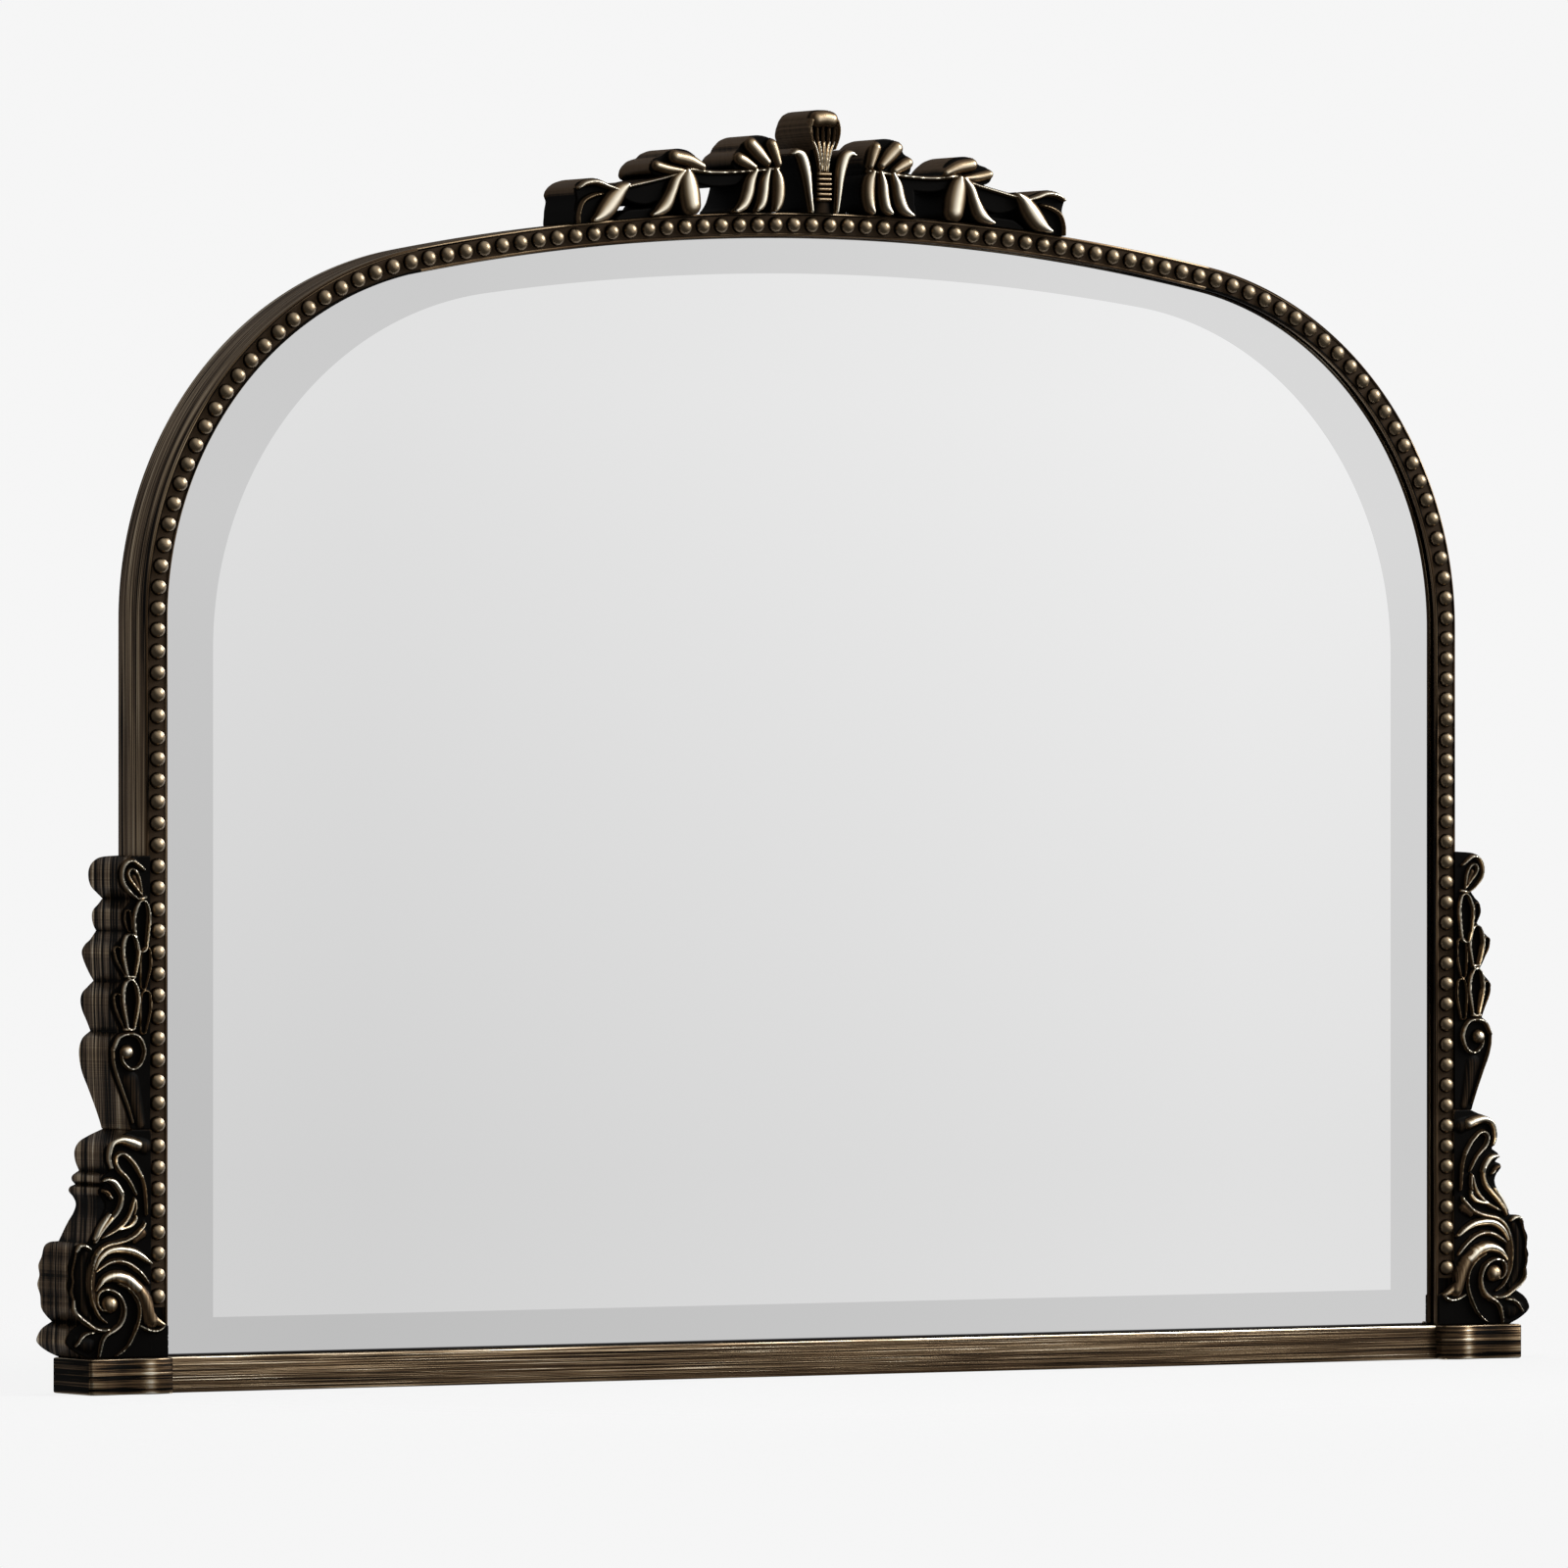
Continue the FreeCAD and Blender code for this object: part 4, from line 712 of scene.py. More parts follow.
    @staticmethod
    def back_cap(points, edges):
        """Faces that close the flat back, pointing away from the front."""
        work = bmesh.new()
        made = {}
        for pair in edges:
            for point in pair:
                if point not in made:
                    made[point] = work.verts.new(points[point])
                    made[point].index = point
        lines = [work.edges.new((made[first], made[last])) for first, last in edges]
        bmesh.ops.triangle_fill(work, use_beauty=False, use_dissolve=False, edges=lines)
        names = {spot: point for point, spot in made.items()}
        faces = []
        for face in work.faces:
            shape = [names[spot] for spot in face.verts]
            face.normal_update()
            faces.append(tuple(shape if face.normal.y > 0 else shape[::-1]))
        work.free()
        return faces


def joined(name, meshes):
    """One mesh from several that carry the same layers."""
    work = bmesh.new()
    for mesh in meshes:
        work.from_mesh(mesh)
    whole = bpy.data.meshes.new(name)
    work.to_mesh(whole)
    work.free()
    return whole


# ---------------------------------------------------------------- operators


class MIRROR_OT_frame(bpy.types.Operator):
    """Stiles, shoulders and crown with worn edges"""

    bl_idname = "mirror.frame"
    bl_label = "Frame members"

    def execute(self, context):
        sizes, tones = context.scene.mirror_sizes, context.scene.mirror_finish
        arch = Arch(sizes)
        face, back, lip = STILE_LOW[1], STILE_HIGH[1], GLASS_LOW[1]
        rim, deep, round_ = sizes.rim_width, sizes.channel_depth, sizes.edge_round
        section, marks = rounded([
            (sizes.rabbet_width, lip, 0),
            (0, lip, 0.0004),
            (0, face, 0.6 * round_),
            (rim, face, 0.4 * round_),
            (rim, face + deep, 0),
            (arch.face - rim, face + deep, 0),
            (arch.face - rim, face, 0.4 * round_),
            (arch.face, face, round_),
            (arch.face, back, 0.7 * round_),
            (sizes.rabbet_width, back, 0.0004),
        ])
        front = section[:, 1] < face + 2 * deep
        # Tones per face: outer side lightest, front mid, the reveal by the glass darker, the channel floor near black;
        # rounded corners brighter
        wear = np.where(section[:, 0] > arch.face - 1e-6, 0.48, np.where(front, 0.32, 0.17))
        wear = wear + np.where((section[:, 0] < 0.5 * rim) & ~front, 0.05, 0.22) * marks
        wear[np.abs(section[:, 1] - face - deep) < 1e-6] = 0.02
        finish = brushed_bronze("frame_bronze", tones, 2.0)
        right = {
            "stile": sweep("right_stile_skin", arch.stile(arch.foot, arch.spring, 40), section, wear),
            "shoulder": sweep("right_shoulder_skin", arch.shoulder(0, arch.shoulder_turn, 72), section, wear),
        }
        for kind, mesh in right.items():
            new_piece(f"right_{kind}_skin", mesh, finish, [f"right_{kind}"])
            twin = mirrored(f"left_{kind}_skin", mesh)
            new_piece(f"left_{kind}_skin", twin, finish, [f"left_{kind}"])
        crown = sweep("crown_skin", arch.crown(-arch.crown_turn, arch.crown_turn, 97), section, wear)
        new_piece("crown_skin", crown, finish, ["crown_arch"])
        return {"FINISHED"}


class MIRROR_OT_base(bpy.types.Operator):
    """Base rail and the two bowed plinth blocks"""

    bl_idname = "mirror.base"
    bl_label = "Base"

    def execute(self, context):
        sizes, tones = context.scene.mirror_sizes, context.scene.mirror_finish
        finish = brushed_bronze("base_bronze", tones, 2.4, 0.32)
        face, back, top = RAIL_LOW[1], RAIL_HIGH[1], RAIL_HIGH[2]
        lip, round_ = GLASS_LOW[1], sizes.edge_round
        floor = top - sizes.rabbet_width
        section, marks = rounded([
            (0, face, 0.8 * round_), (0, back, 0.5 * round_), (floor, back, 0.0004), (floor, lip, 0),
            (top, lip, 0.0005), (top, face, 1.2 * round_)])
        stations = [(x, 0.0, 0.0, 1.0, x) for x in np.linspace(RAIL_LOW[0], RAIL_HIGH[0], 60)]
        wear = 0.38 + 0.45 * marks
        rail = sweep("base_rail_skin", stations, section, wear)
        new_piece("base_rail_skin", rail, finish, ["base_rail"])
        block = self.block(sizes, round_)
        new_piece("right_block_skin", block, finish, ["right_plinth_block"])
        new_piece("left_block_skin", mirrored("left_block_skin", block), finish, ["left_plinth_block"])
        return {"FINISHED"}

    @staticmethod
    def arc(start, end, radius, side, count=14):
        """Points of an arc between two places, its centre on the left (1) or right (-1) of the way."""
        start, end = np.array(start), np.array(end)
        chord = end - start
        half = np.linalg.norm(chord) / 2
        left = np.array((-chord[1], chord[0])) / (2 * half)
        centre = (start + end) / 2 + left * side * math.sqrt(radius ** 2 - half ** 2)
        first = math.atan2(*(start - centre)[::-1])
        last = math.atan2(*(end - centre)[::-1])
        swing = (last - first + math.pi) % (2 * math.pi) - math.pi
        turns = first + swing * np.linspace(0, 1, count)
        return [tuple(centre + radius * np.array((math.cos(turn), math.sin(turn)))) for turn in turns]

    def block(self, sizes, round_):
        low, high = BLOCK_LOW, BLOCK_HIGH
        wide = high[0] - low[0]
        bow = ((low[0], low[1] + 0.006), (low[0] + 0.34 * wide, low[1] + 0.001))
        cove = (bow[1], (low[0] + 0.8 * wide, low[1]))
        plan = [(low[0], high[1])]
        plan += self.arc(*bow, sizes.block_bow, 1)
        plan += self.arc(*cove, sizes.block_cove, -1)[1:]
        plan += self.arc((high[0] - 0.003, low[1]), (high[0], low[1] + 0.003), 0.003, 1, 6)
        plan += [(high[0], high[1])]
        plan = np.array(plan)
        count = len(plan)
        middle = plan.mean(axis=0)
        rings = [(low[2], round_), (low[2] + 0.3 * round_, 0.3 * round_), (low[2] + round_, 0.0),
                 (high[2] - round_, 0.0), (high[2] - 0.3 * round_, 0.3 * round_), (high[2], round_)]
        points, wear = [], []
        for height, inset in rings:
            for spot in plan:
                inner = spot - np.sign(spot - middle) * inset
                points.append((inner[0], max(inner[1], low[1]), height))
                # Painted light: a painted highlight band on the bow near the inner end, a painted shade dip beyond it
                # and a painted highlight line at the outer corner; the outer end and the back get painted shade;
                # rounded edges are brighter
                along = (spot[0] - low[0]) / wide
                shade = 0.265 + 0.46 * math.exp(-((along - 0.30) / 0.07) ** 2)
                shade -= 0.10 * math.exp(-((along - 0.6) / 0.12) ** 2)
                shade += 0.30 * math.exp(-((along - 0.975) / 0.03) ** 2)
                if spot[1] > low[1] + 0.0065 or along > 0.999:
                    shade = 0.11
                wear.append(0.74 if 0 < inset < round_ else shade)
        faces = []
        for ring in range(len(rings) - 1):
            for here in range(count):
                after = (here + 1) % count
                faces.append((ring * count + here, ring * count + after,
                              (ring + 1) * count + after, (ring + 1) * count + here))
        faces += [tuple(range(count)), tuple(range((len(rings) - 1) * count, len(rings) * count))]
        mesh = skin("right_block_skin", points, faces)
        set_wear_and_painted_light(mesh, wear)
        spots, ways, _ = loop_facts(mesh)
        top = np.abs(ways[:, 2]) > 0.7
        set_grain(mesh, np.stack((spots[:, 0] + spots[:, 1], np.where(top, spots[:, 1], spots[:, 2])), axis=1))
        return mesh


class MIRROR_OT_beads(bpy.types.Operator):
    """Beaded strips let into the channel of the frame"""

    bl_idname = "mirror.beads"
    bl_label = "Beads"

    @staticmethod
    def bead_tree(material):
        """Rows of flat-backed beads at even distances along a line."""
        tree = bpy.data.node_groups.new("bead_row", "GeometryNodeTree")
        face = tree.interface
        face.new_socket("Line", in_out="INPUT", socket_type="NodeSocketGeometry")
        count = face.new_socket("Bead count", in_out="INPUT", socket_type="NodeSocketInt")
        radius = face.new_socket("Bead radius", in_out="INPUT", socket_type="NodeSocketFloat")
        sink = face.new_socket("Bead sink", in_out="INPUT", socket_type="NodeSocketFloat")
        face.new_socket("Beads", in_out="OUTPUT", socket_type="NodeSocketGeometry")

        def add(kind, settings=None, inputs=None):
            made = tree.nodes.new(kind)
            for name, given in (settings or {}).items():
                setattr(made, name, given)
            for name, given in (inputs or {}).items():
                if isinstance(given, bpy.types.NodeSocket):
                    tree.links.new(given, made.inputs[name])
                else:
                    made.inputs[name].default_value = given
            return made

        start = add("NodeGroupInput").outputs
        line = add("GeometryNodeMeshToCurve", None, {"Mesh": start["Line"]})
        even = add("GeometryNodeResampleCurve", {"mode": "COUNT"}, {"Curve": line.outputs[0], "Count": start["Bead count"]})
        ball = add("GeometryNodeMeshUVSphere", None, {"Segments": 14, "Rings": 7, "Radius": start["Bead radius"]})
        spot = add("GeometryNodeInputPosition")
        parts = add("ShaderNodeSeparateXYZ", None, {0: spot.outputs[0]})
        down = add("ShaderNodeMath", {"operation": "MULTIPLY"}, {0: start["Bead sink"], 1: -1.0})
        flat = add("ShaderNodeMath", {"operation": "MAXIMUM"}, {0: parts.outputs[2], 1: down.outputs[0]})
        whole = add("ShaderNodeCombineXYZ", None, {0: parts.outputs[0], 1: parts.outputs[1], 2: flat.outputs[0]})
        half = add("GeometryNodeSetPosition", None, {"Geometry": ball.outputs[0], "Position": whole.outputs[0]})
        row = add("GeometryNodeInstanceOnPoints", None, {
            "Points": even.outputs[0], "Instance": half.outputs[0], "Rotation": (math.pi / 2, 0.0, 0.0)})
        real = add("GeometryNodeRealizeInstances", None, {0: row.outputs[0]})
        dressed = add("GeometryNodeSetMaterial", None, {"Geometry": real.outputs[0], "Material": material})
        add("NodeGroupOutput", None, {0: dressed.outputs[0]})
        return tree, count.identifier, radius.identifier, sink.identifier

    def execute(self, context):
        sizes, tones = context.scene.mirror_sizes, context.scene.mirror_finish
        arch = Arch(sizes)
        face = STILE_LOW[1]
        radius, pitch = sizes.bead_diameter / 2, sizes.bead_pitch
        seat, ground = STRIP_LOW[1] + radius, face + sizes.channel_depth
        finish = bead_bronze(tones, seat, radius)
        tree, count_id, radius_id, sink_id = self.bead_tree(finish)
        half = (STRIP_HIGH[0] - STRIP_LOW[0]) / 2
        middle = arch.face / 2
        section = np.array([(middle - half, seat), (middle + half, seat), (middle + half, ground),
                            (middle - half, ground)])
        low, high = STRIP_LOW[2], STRIP_HIGH[2]
        small, large = arch.small + middle, arch.large + middle
        stile_count = round((high - low) / pitch)
        shoulder_count = round(small * arch.shoulder_turn / pitch)
        crown_count = round(2 * large * arch.crown_turn / pitch)
        step = (high - low) / stile_count / 2
        turn = arch.shoulder_turn / shoulder_count / 2
        swing = arch.crown_turn * (1 - 1 / crown_count)
        rows = {
            "bead_strip": (arch.stile(low, high, 12), arch.stile(low + step, high - step, 2), stile_count),
            "shoulder_beads": (arch.shoulder(0, arch.shoulder_turn, 72),
                               arch.shoulder(turn, arch.shoulder_turn - turn, 300), shoulder_count),
            "crown_beads": (arch.crown(-arch.crown_turn, arch.crown_turn, 97),
                            arch.crown(-swing, swing, 400), crown_count),
        }
        for kind, (strip_line, bead_line, count) in rows.items():
            strip = sweep(kind + "_strip", strip_line, section, np.full(4, 0.2))
            path = bpy.data.meshes.new(kind + "_line")
            spots = [(x + across * middle, seat, z + up * middle) for x, z, across, up, _ in bead_line]
            path.from_pydata(spots, [(here, here + 1) for here in range(len(spots) - 1)], [])
            guide = bpy.data.objects.new(kind + "_line", path)
            context.scene.collection.objects.link(guide)
            rule = guide.modifiers.new("beads", "NODES")
            rule.node_group = tree
            rule[count_id], rule[radius_id], rule[sink_id] = count, radius, (ground - seat) / 2
            guide.update_tag()
            context.view_layer.update()
            made = guide.evaluated_get(context.evaluated_depsgraph_get())
            beads = bpy.data.meshes.new_from_object(made)
            if len(beads.polygons) < 40 * count:
                raise RuntimeError(f"{kind}: the beads were not made")
            guide.modifiers.remove(rule)
            bpy.data.objects.remove(guide)
            whole = joined(kind + "_skin", [strip, beads])
            if kind == "crown_beads":
                new_piece("crown_beads_skin", whole, finish, [kind])
                continue
            new_piece(f"right_{kind}_skin", whole, finish, [f"right_{kind}"])
            twin = mirrored(f"left_{kind}_skin", whole)
            new_piece(f"left_{kind}_skin", twin, finish, [f"left_{kind}"])
        return {"FINISHED"}


class MIRROR_OT_glass(bpy.types.Operator):
    """Bevelled mirror glass"""

    bl_idname = "mirror.glass"
    bl_label = "Glass"

    @staticmethod
    def outline(half, bottom, spring, small, top):
        """Arch outline from the lower left corner, anticlockwise, with the same count for every size."""
        reach, rise = half - small, top - spring - small
        span = (reach ** 2 / rise + rise) / 2
        large, bend = small + span, math.acos(reach / span)
        line = [(-half, bottom)] + [(x, bottom) for x in np.linspace(-half, half, 41)[1:-1]] + [(half, bottom)]
        line += [(half, z) for z in np.linspace(bottom, spring, 21)[1:-1]]
        line += [(reach + small * math.cos(turn), spring + small * math.sin(turn)) for turn in np.linspace(0, bend, 60)]
        flat = math.pi / 2 - bend
        crown = [(large * math.sin(turn), top - large + large * math.cos(turn)) for turn in np.linspace(flat, -flat, 80)]
        line += crown[1:-1]
        line += [(-reach - small * math.cos(turn), spring + small * math.sin(turn)) for turn in np.linspace(bend, 0, 60)]
        line += [(-half, z) for z in np.linspace(spring, bottom, 21)[1:-1]]
        return line

    def execute(self, context):
        sizes, tones = context.scene.mirror_sizes, context.scene.mirror_finish
        arch = Arch(sizes)
        front, back = GLASS_LOW[1], GLASS_HIGH[1]
        top = CROWN_HIGH[2] - arch.face
        margin = GLASS_HIGH[0] - arch.half
        outer = self.outline(arch.half + margin, GLASS_LOW[2], arch.spring, arch.small + margin, GLASS_HIGH[2])
        inner = self.outline(arch.half - sizes.bevel_width, arch.foot + sizes.bevel_bottom,
                             arch.spring - sizes.bevel_spring_drop, arch.small + sizes.bevel_shoulder_gain,
                             top - sizes.bevel_drop)
        count = len(outer)
        levels = [(inner, front), (inner, front), (outer, back - sizes.glass_edge), (outer, back)]
        points = [(x, depth, z) for line, depth in levels for x, z in line]
        faces = [tuple(range(count)), tuple(reversed(range(3 * count, 4 * count)))]
        for ring in (1, 2):
            for here in range(count):
                after = (here + 1) % count
                faces.append((ring * count + after, ring * count + here,
                              (ring + 1) * count + here, (ring + 1) * count + after))
        mesh = bpy.data.meshes.new("mirror_glass_skin")
        mesh.from_pydata(points, [], faces)
        band = mesh.attributes.new("bevel", "FLOAT", "FACE")
        band.data.foreach_set("value", [0.0, 0.0] + [1.0] * count + [0.0] * count)
        new_piece("mirror_glass_skin", mesh, silvered_glass(tones, arch.foot), ["mirror_glass"])
        mesh.set_sharp_from_angle(angle=math.radians(1.5))
        return {"FINISHED"}


class MIRROR_OT_scrolls(bpy.types.Operator):
    """Acanthus scrolls at the foot of the stiles"""

    bl_idname = "mirror.scrolls"
    bl_label = "Acanthus scrolls"

    def execute(self, context):
        sizes, tones = context.scene.mirror_sizes, context.scene.mirror_finish
        work = Relief((-18, -1), (67, 161), 0.5)
        work.plate((
            ((-3, 0), (47.2, 0)),
            ((47.2, 0), (56.2, 4.2), (62.7, 8.8), (64.7, 13), (60.7, 20), (52.7, 25)),
            ((52.7, 25), (57.4, 29.5), (61, 35), (61.8, 43.5), (64, 51), (62.4, 57.5), (63.2, 64.5), (60.6, 70.5),
             (58.6, 77.5), (54.2, 80.4), (47.2, 81)),
            ((47.2, 81), (40.7, 93), (35.7, 100.5), (33.7, 106.5), (35.7, 111.5), (39.2, 115.5), (38.4, 118.6),
             (34.2, 120.4)),
            ((34.2, 120.4), (36.8, 123.4), (36.4, 126.6), (31.2, 130)),
            ((31.2, 130), (34.2, 137), (34.7, 144), (31.2, 150), (23.2, 154.5), (12.2, 159)),
            ((12.2, 159), (-3, 159)),
            ((-3, 159), (-3, 0)),
        ), 2.0)
        work.plate((((1, 0), (-16.5, 0)), ((-16.5, 0), (-16.5, 22)), ((-16.5, 22), (-9, 26), (1, 36)),
                    ((1, 36), (1, 0))), 2.0)
        strokes = (
            # hooked top leaf and the loop inside it
            (((3, 147, 6.5), (7, 148.5, 6)), barrel, 4.5, 0.12),
            (((9, 148.6, 5.0), (15, 150.8, 4.8), (22, 152.2, 3.9), (28, 150.4, 3.0), (31, 146, 2.4), (32, 139, 1.8),
              (30, 132.5, 1.3)), barrel, 7.5, 0.82),
            (((2, 100, 1.6), (2.5, 109, 2.4), (3.5, 119, 2.8), (6, 127, 3)), cusp, 7, 0.45),
            (((5.6, 126, 3), (10.5, 134, 3.2), (15, 139, 3.2), (19, 142, 3.2), (23, 142.4, 3.2), (26, 140, 3),
              (26, 136, 3), (23.5, 131.5, 3), (18, 126.5, 2.8), (14.5, 122, 2.4), (12, 117.5, 2), (10, 114, 1.4)),
             cusp, 7, 0.84),
            # tips on the outer edge
            (((21.5, 114, 2.6), (24, 118.5, 3.2), (28, 123, 3.2), (33, 124.6, 2.0), (35.6, 123.8, 1.0)), barrel, 7, 0.82),
            (((30, 112, 2), (33, 115.5, 2.6), (36.5, 117, 1.6)), barrel, 6, 0.30),
            (((29.6, 111.6, 1.3), (31.4, 113.2, 1.3)), barrel, 6.6, 0.75),
            # sweeping leaves
            (((22, 116, 2.4), (22, 109, 3), (24.5, 103, 3.4), (29, 98, 3.6), (34, 93, 3.4), (39, 87, 2.8),
              (42.5, 81, 1.6)), cusp, 8, 0.96),
            (((31.5, 100.5, 1.6), (35, 96, 2.6), (39, 90.5, 2.6), (43, 83.5, 1.4)), barrel, 7, 0.86),
            (((10.8, 110, 1.2), (10.8, 104, 1.6), (12, 100, 1)), barrel, 6.5, 0.62),
            (((11.5, 111.5, 1.4), (12.5, 108, 2.4), (14, 103, 2.8), (17, 97.5, 3), (21, 93, 3), (26, 89.5, 2.8),
              (32, 86.5, 2.2), (37.5, 84, 1.2)), cusp, 7.5, 0.96),
            (((10.5, 99, 1.2), (11.5, 95.5, 2), (15, 92.2, 2.2), (20, 90.6, 1.8), (25, 89.6, 1.2)), barrel, 7, 0.86),
            (((13.5, 97.5, 2.6), (15.5, 95, 2)), barrel, 4.2, 0.20),
            (((3.4, 94.5, 1.2), (4.6, 92, 2.4), (7.5, 89, 3), (12, 85, 3.2), (19, 82, 3.2), (26, 80.5, 3.2), (33, 79, 3.4),
              (38.5, 76, 3.4), (42.5, 71, 3.2), (45, 65, 2.8)), cusp, 8, 0.96),
            (((44.4, 67, 2.8), (46.5, 57, 2.6), (46.8, 50, 2.6), (45.8, 42, 2.6), (43, 35, 2.4), (39, 29, 2),
              (33.5, 25, 1.2)), cusp, 8, 0.62),
            (((5, 87, 4.6), (11, 82.4, 3.6)), barrel, 5.2, 0.30),
            (((41, 71, 3.5), (45, 62, 5.5), (46, 50, 5.5), (43, 38, 4.5)), barrel, 5.4, 0.26),
            (((-1, 66, 1.4), (6, 71, 3), (13, 74.5, 3.6), (21, 76, 3.8), (29, 75.8, 3.6), (35, 73.5, 3.2), (40, 69, 2.6),
              (43.5, 62.5, 1.4)), barrel, 7.5, 0.84),
            (((0, 52, 1.4), (5, 58, 2.6), (11, 63, 3.2), (17, 66.4, 3.4), (24, 68, 3.4), (31, 67, 3.2), (37, 64, 2.8),
              (42, 60.5, 1.8)), cusp, 7, 0.92),
            # the volute
            (((-2, 26, 7), (0, 32, 7.5), (4, 42, 7), (10, 50, 6), (15, 54, 5.2)), barrel, 7.6, 0.46),
            (((9, 48.6, 6.0), (17, 54.8, 6), (24, 57.2, 5.4), (30, 57.2, 4.8), (36, 55, 3.6), (40, 51, 2), (42.5, 47.5, 1)),
             barrel, 8, 0.82),
            (((24, 52.4, 1.6), (16.5, 48.4, 1.8), (10.8, 42.5, 2), (8.2, 37, 2.2), (7.6, 31, 2.2), (9, 24, 2.2),
              (12, 17, 2), (16, 10, 1.8), (21, 5, 1.4), (26, 1.8, 1)), cusp, 8, 0.66),
            (((34.5, 33.6, 1.2), (38.2, 34.4, 1.6), (41, 38.6, 2), (41.2, 43.6, 2.4), (38.6, 47, 2.6), (34, 48.2, 2.8), (29, 47.2, 2.8), (24, 44, 2.8),
              (21, 39.5, 2.8), (19.5, 34, 3), (20.5, 28, 3.4), (23.5, 23, 3.8), (28, 19.6, 3.8), (33, 17, 3),
              (36.6, 13, 2.4), (38.4, 7, 1.8), (39.4, 1.5, 1.2)), cusp, 8, 0.96),
            (((30.8, 37.8, 6.6), (31.8, 38, 6.6)), dome, 8.4, 0.68),
            # flame round the outside
            (((50, 74, 4), (53.5, 62, 6.5), (53.5, 48, 6.5), (51, 36, 5.5), (46, 28, 4)), barrel, 3.6, 0.09),
            (((46.5, 76.5, 1.4), (50, 78.6, 2), (54.5, 78.6, 1.8), (57, 75, 1.2)), barrel, 6.5, 0.78),
            (((57, 75, 1.2), (58.8, 68, 1.5), (60.4, 60, 1.5), (59.8, 54, 1.5), (61, 47, 1.6), (59.4, 41, 1.8)), cusp, 6, 0.36),
            (((59.4, 41, 1.4), (59, 34.5, 2.4), (55, 29.4, 3), (49, 25.2, 3.2), (43, 21.4, 3), (37, 19.8, 2.6),
              (31.5, 20.4, 1.6)), cusp, 7.5, 0.96),
            # curl and spur at the foot
            (((47, 9, 7), (55, 11.5, 6)), barrel, 3.4, 0.08),
            (((43, 18.4, 1.4), (49, 17.6, 2.2), (53, 15, 2.2), (55.6, 11.4, 1.8), (57.6, 9.2, 1.2)), cusp, 7, 0.90),
            (((3, 35, 5), (-1, 30.5, 5.5), (-6, 26, 4.4), (-11.5, 23, 2)), barrel, 6.0, 0.56),
            (((-12.8, 22.6, 1.2), (-10, 20, 2), (-5.4, 18.6, 2.2), (0, 19.4, 2.2), (6.6, 22.4, 1.4)), cusp, 6.4, 0.92),
        )
        for spine, form, top, shine in strokes:
            work.stroke(spine, form, top, 1.0, shine)
        unit = (SCROLL_HIGH[2] - SCROLL_LOW[2]) / 159
        side, foot = STILE_HIGH[0], SCROLL_LOW[2]

        def place(x, z):
            return np.minimum(side + x * unit, SCROLL_HIGH[0]), foot + np.clip(z, 0.0, 159.0) * unit

        face, back = STILE_LOW[1], STILE_HIGH[1] - sizes.back_gap
        # Painted shade on the walls at the narrow waist of the outline
        waist = np.exp(-((work.z - 105) / 12) ** 2)
        deep = work.carve("scroll_deep", work.x + 1.9, place, face, back, side=0.36 - 0.24 * waist)
        spur = work.carve("scroll_spur", -1.95 - work.x, place, face, face + 0.0003)
        whole = joined("right_acanthus_skin", [deep, spur])
        finish = brushed_bronze("scroll_bronze", tones, 2.2, 0.30)
        new_piece("right_acanthus_skin", whole, finish, ["right_acanthus"])
        twin = mirrored("left_acanthus_skin", whole)
        new_piece("left_acanthus_skin", twin, finish, ["left_acanthus"])
        return {"FINISHED"}


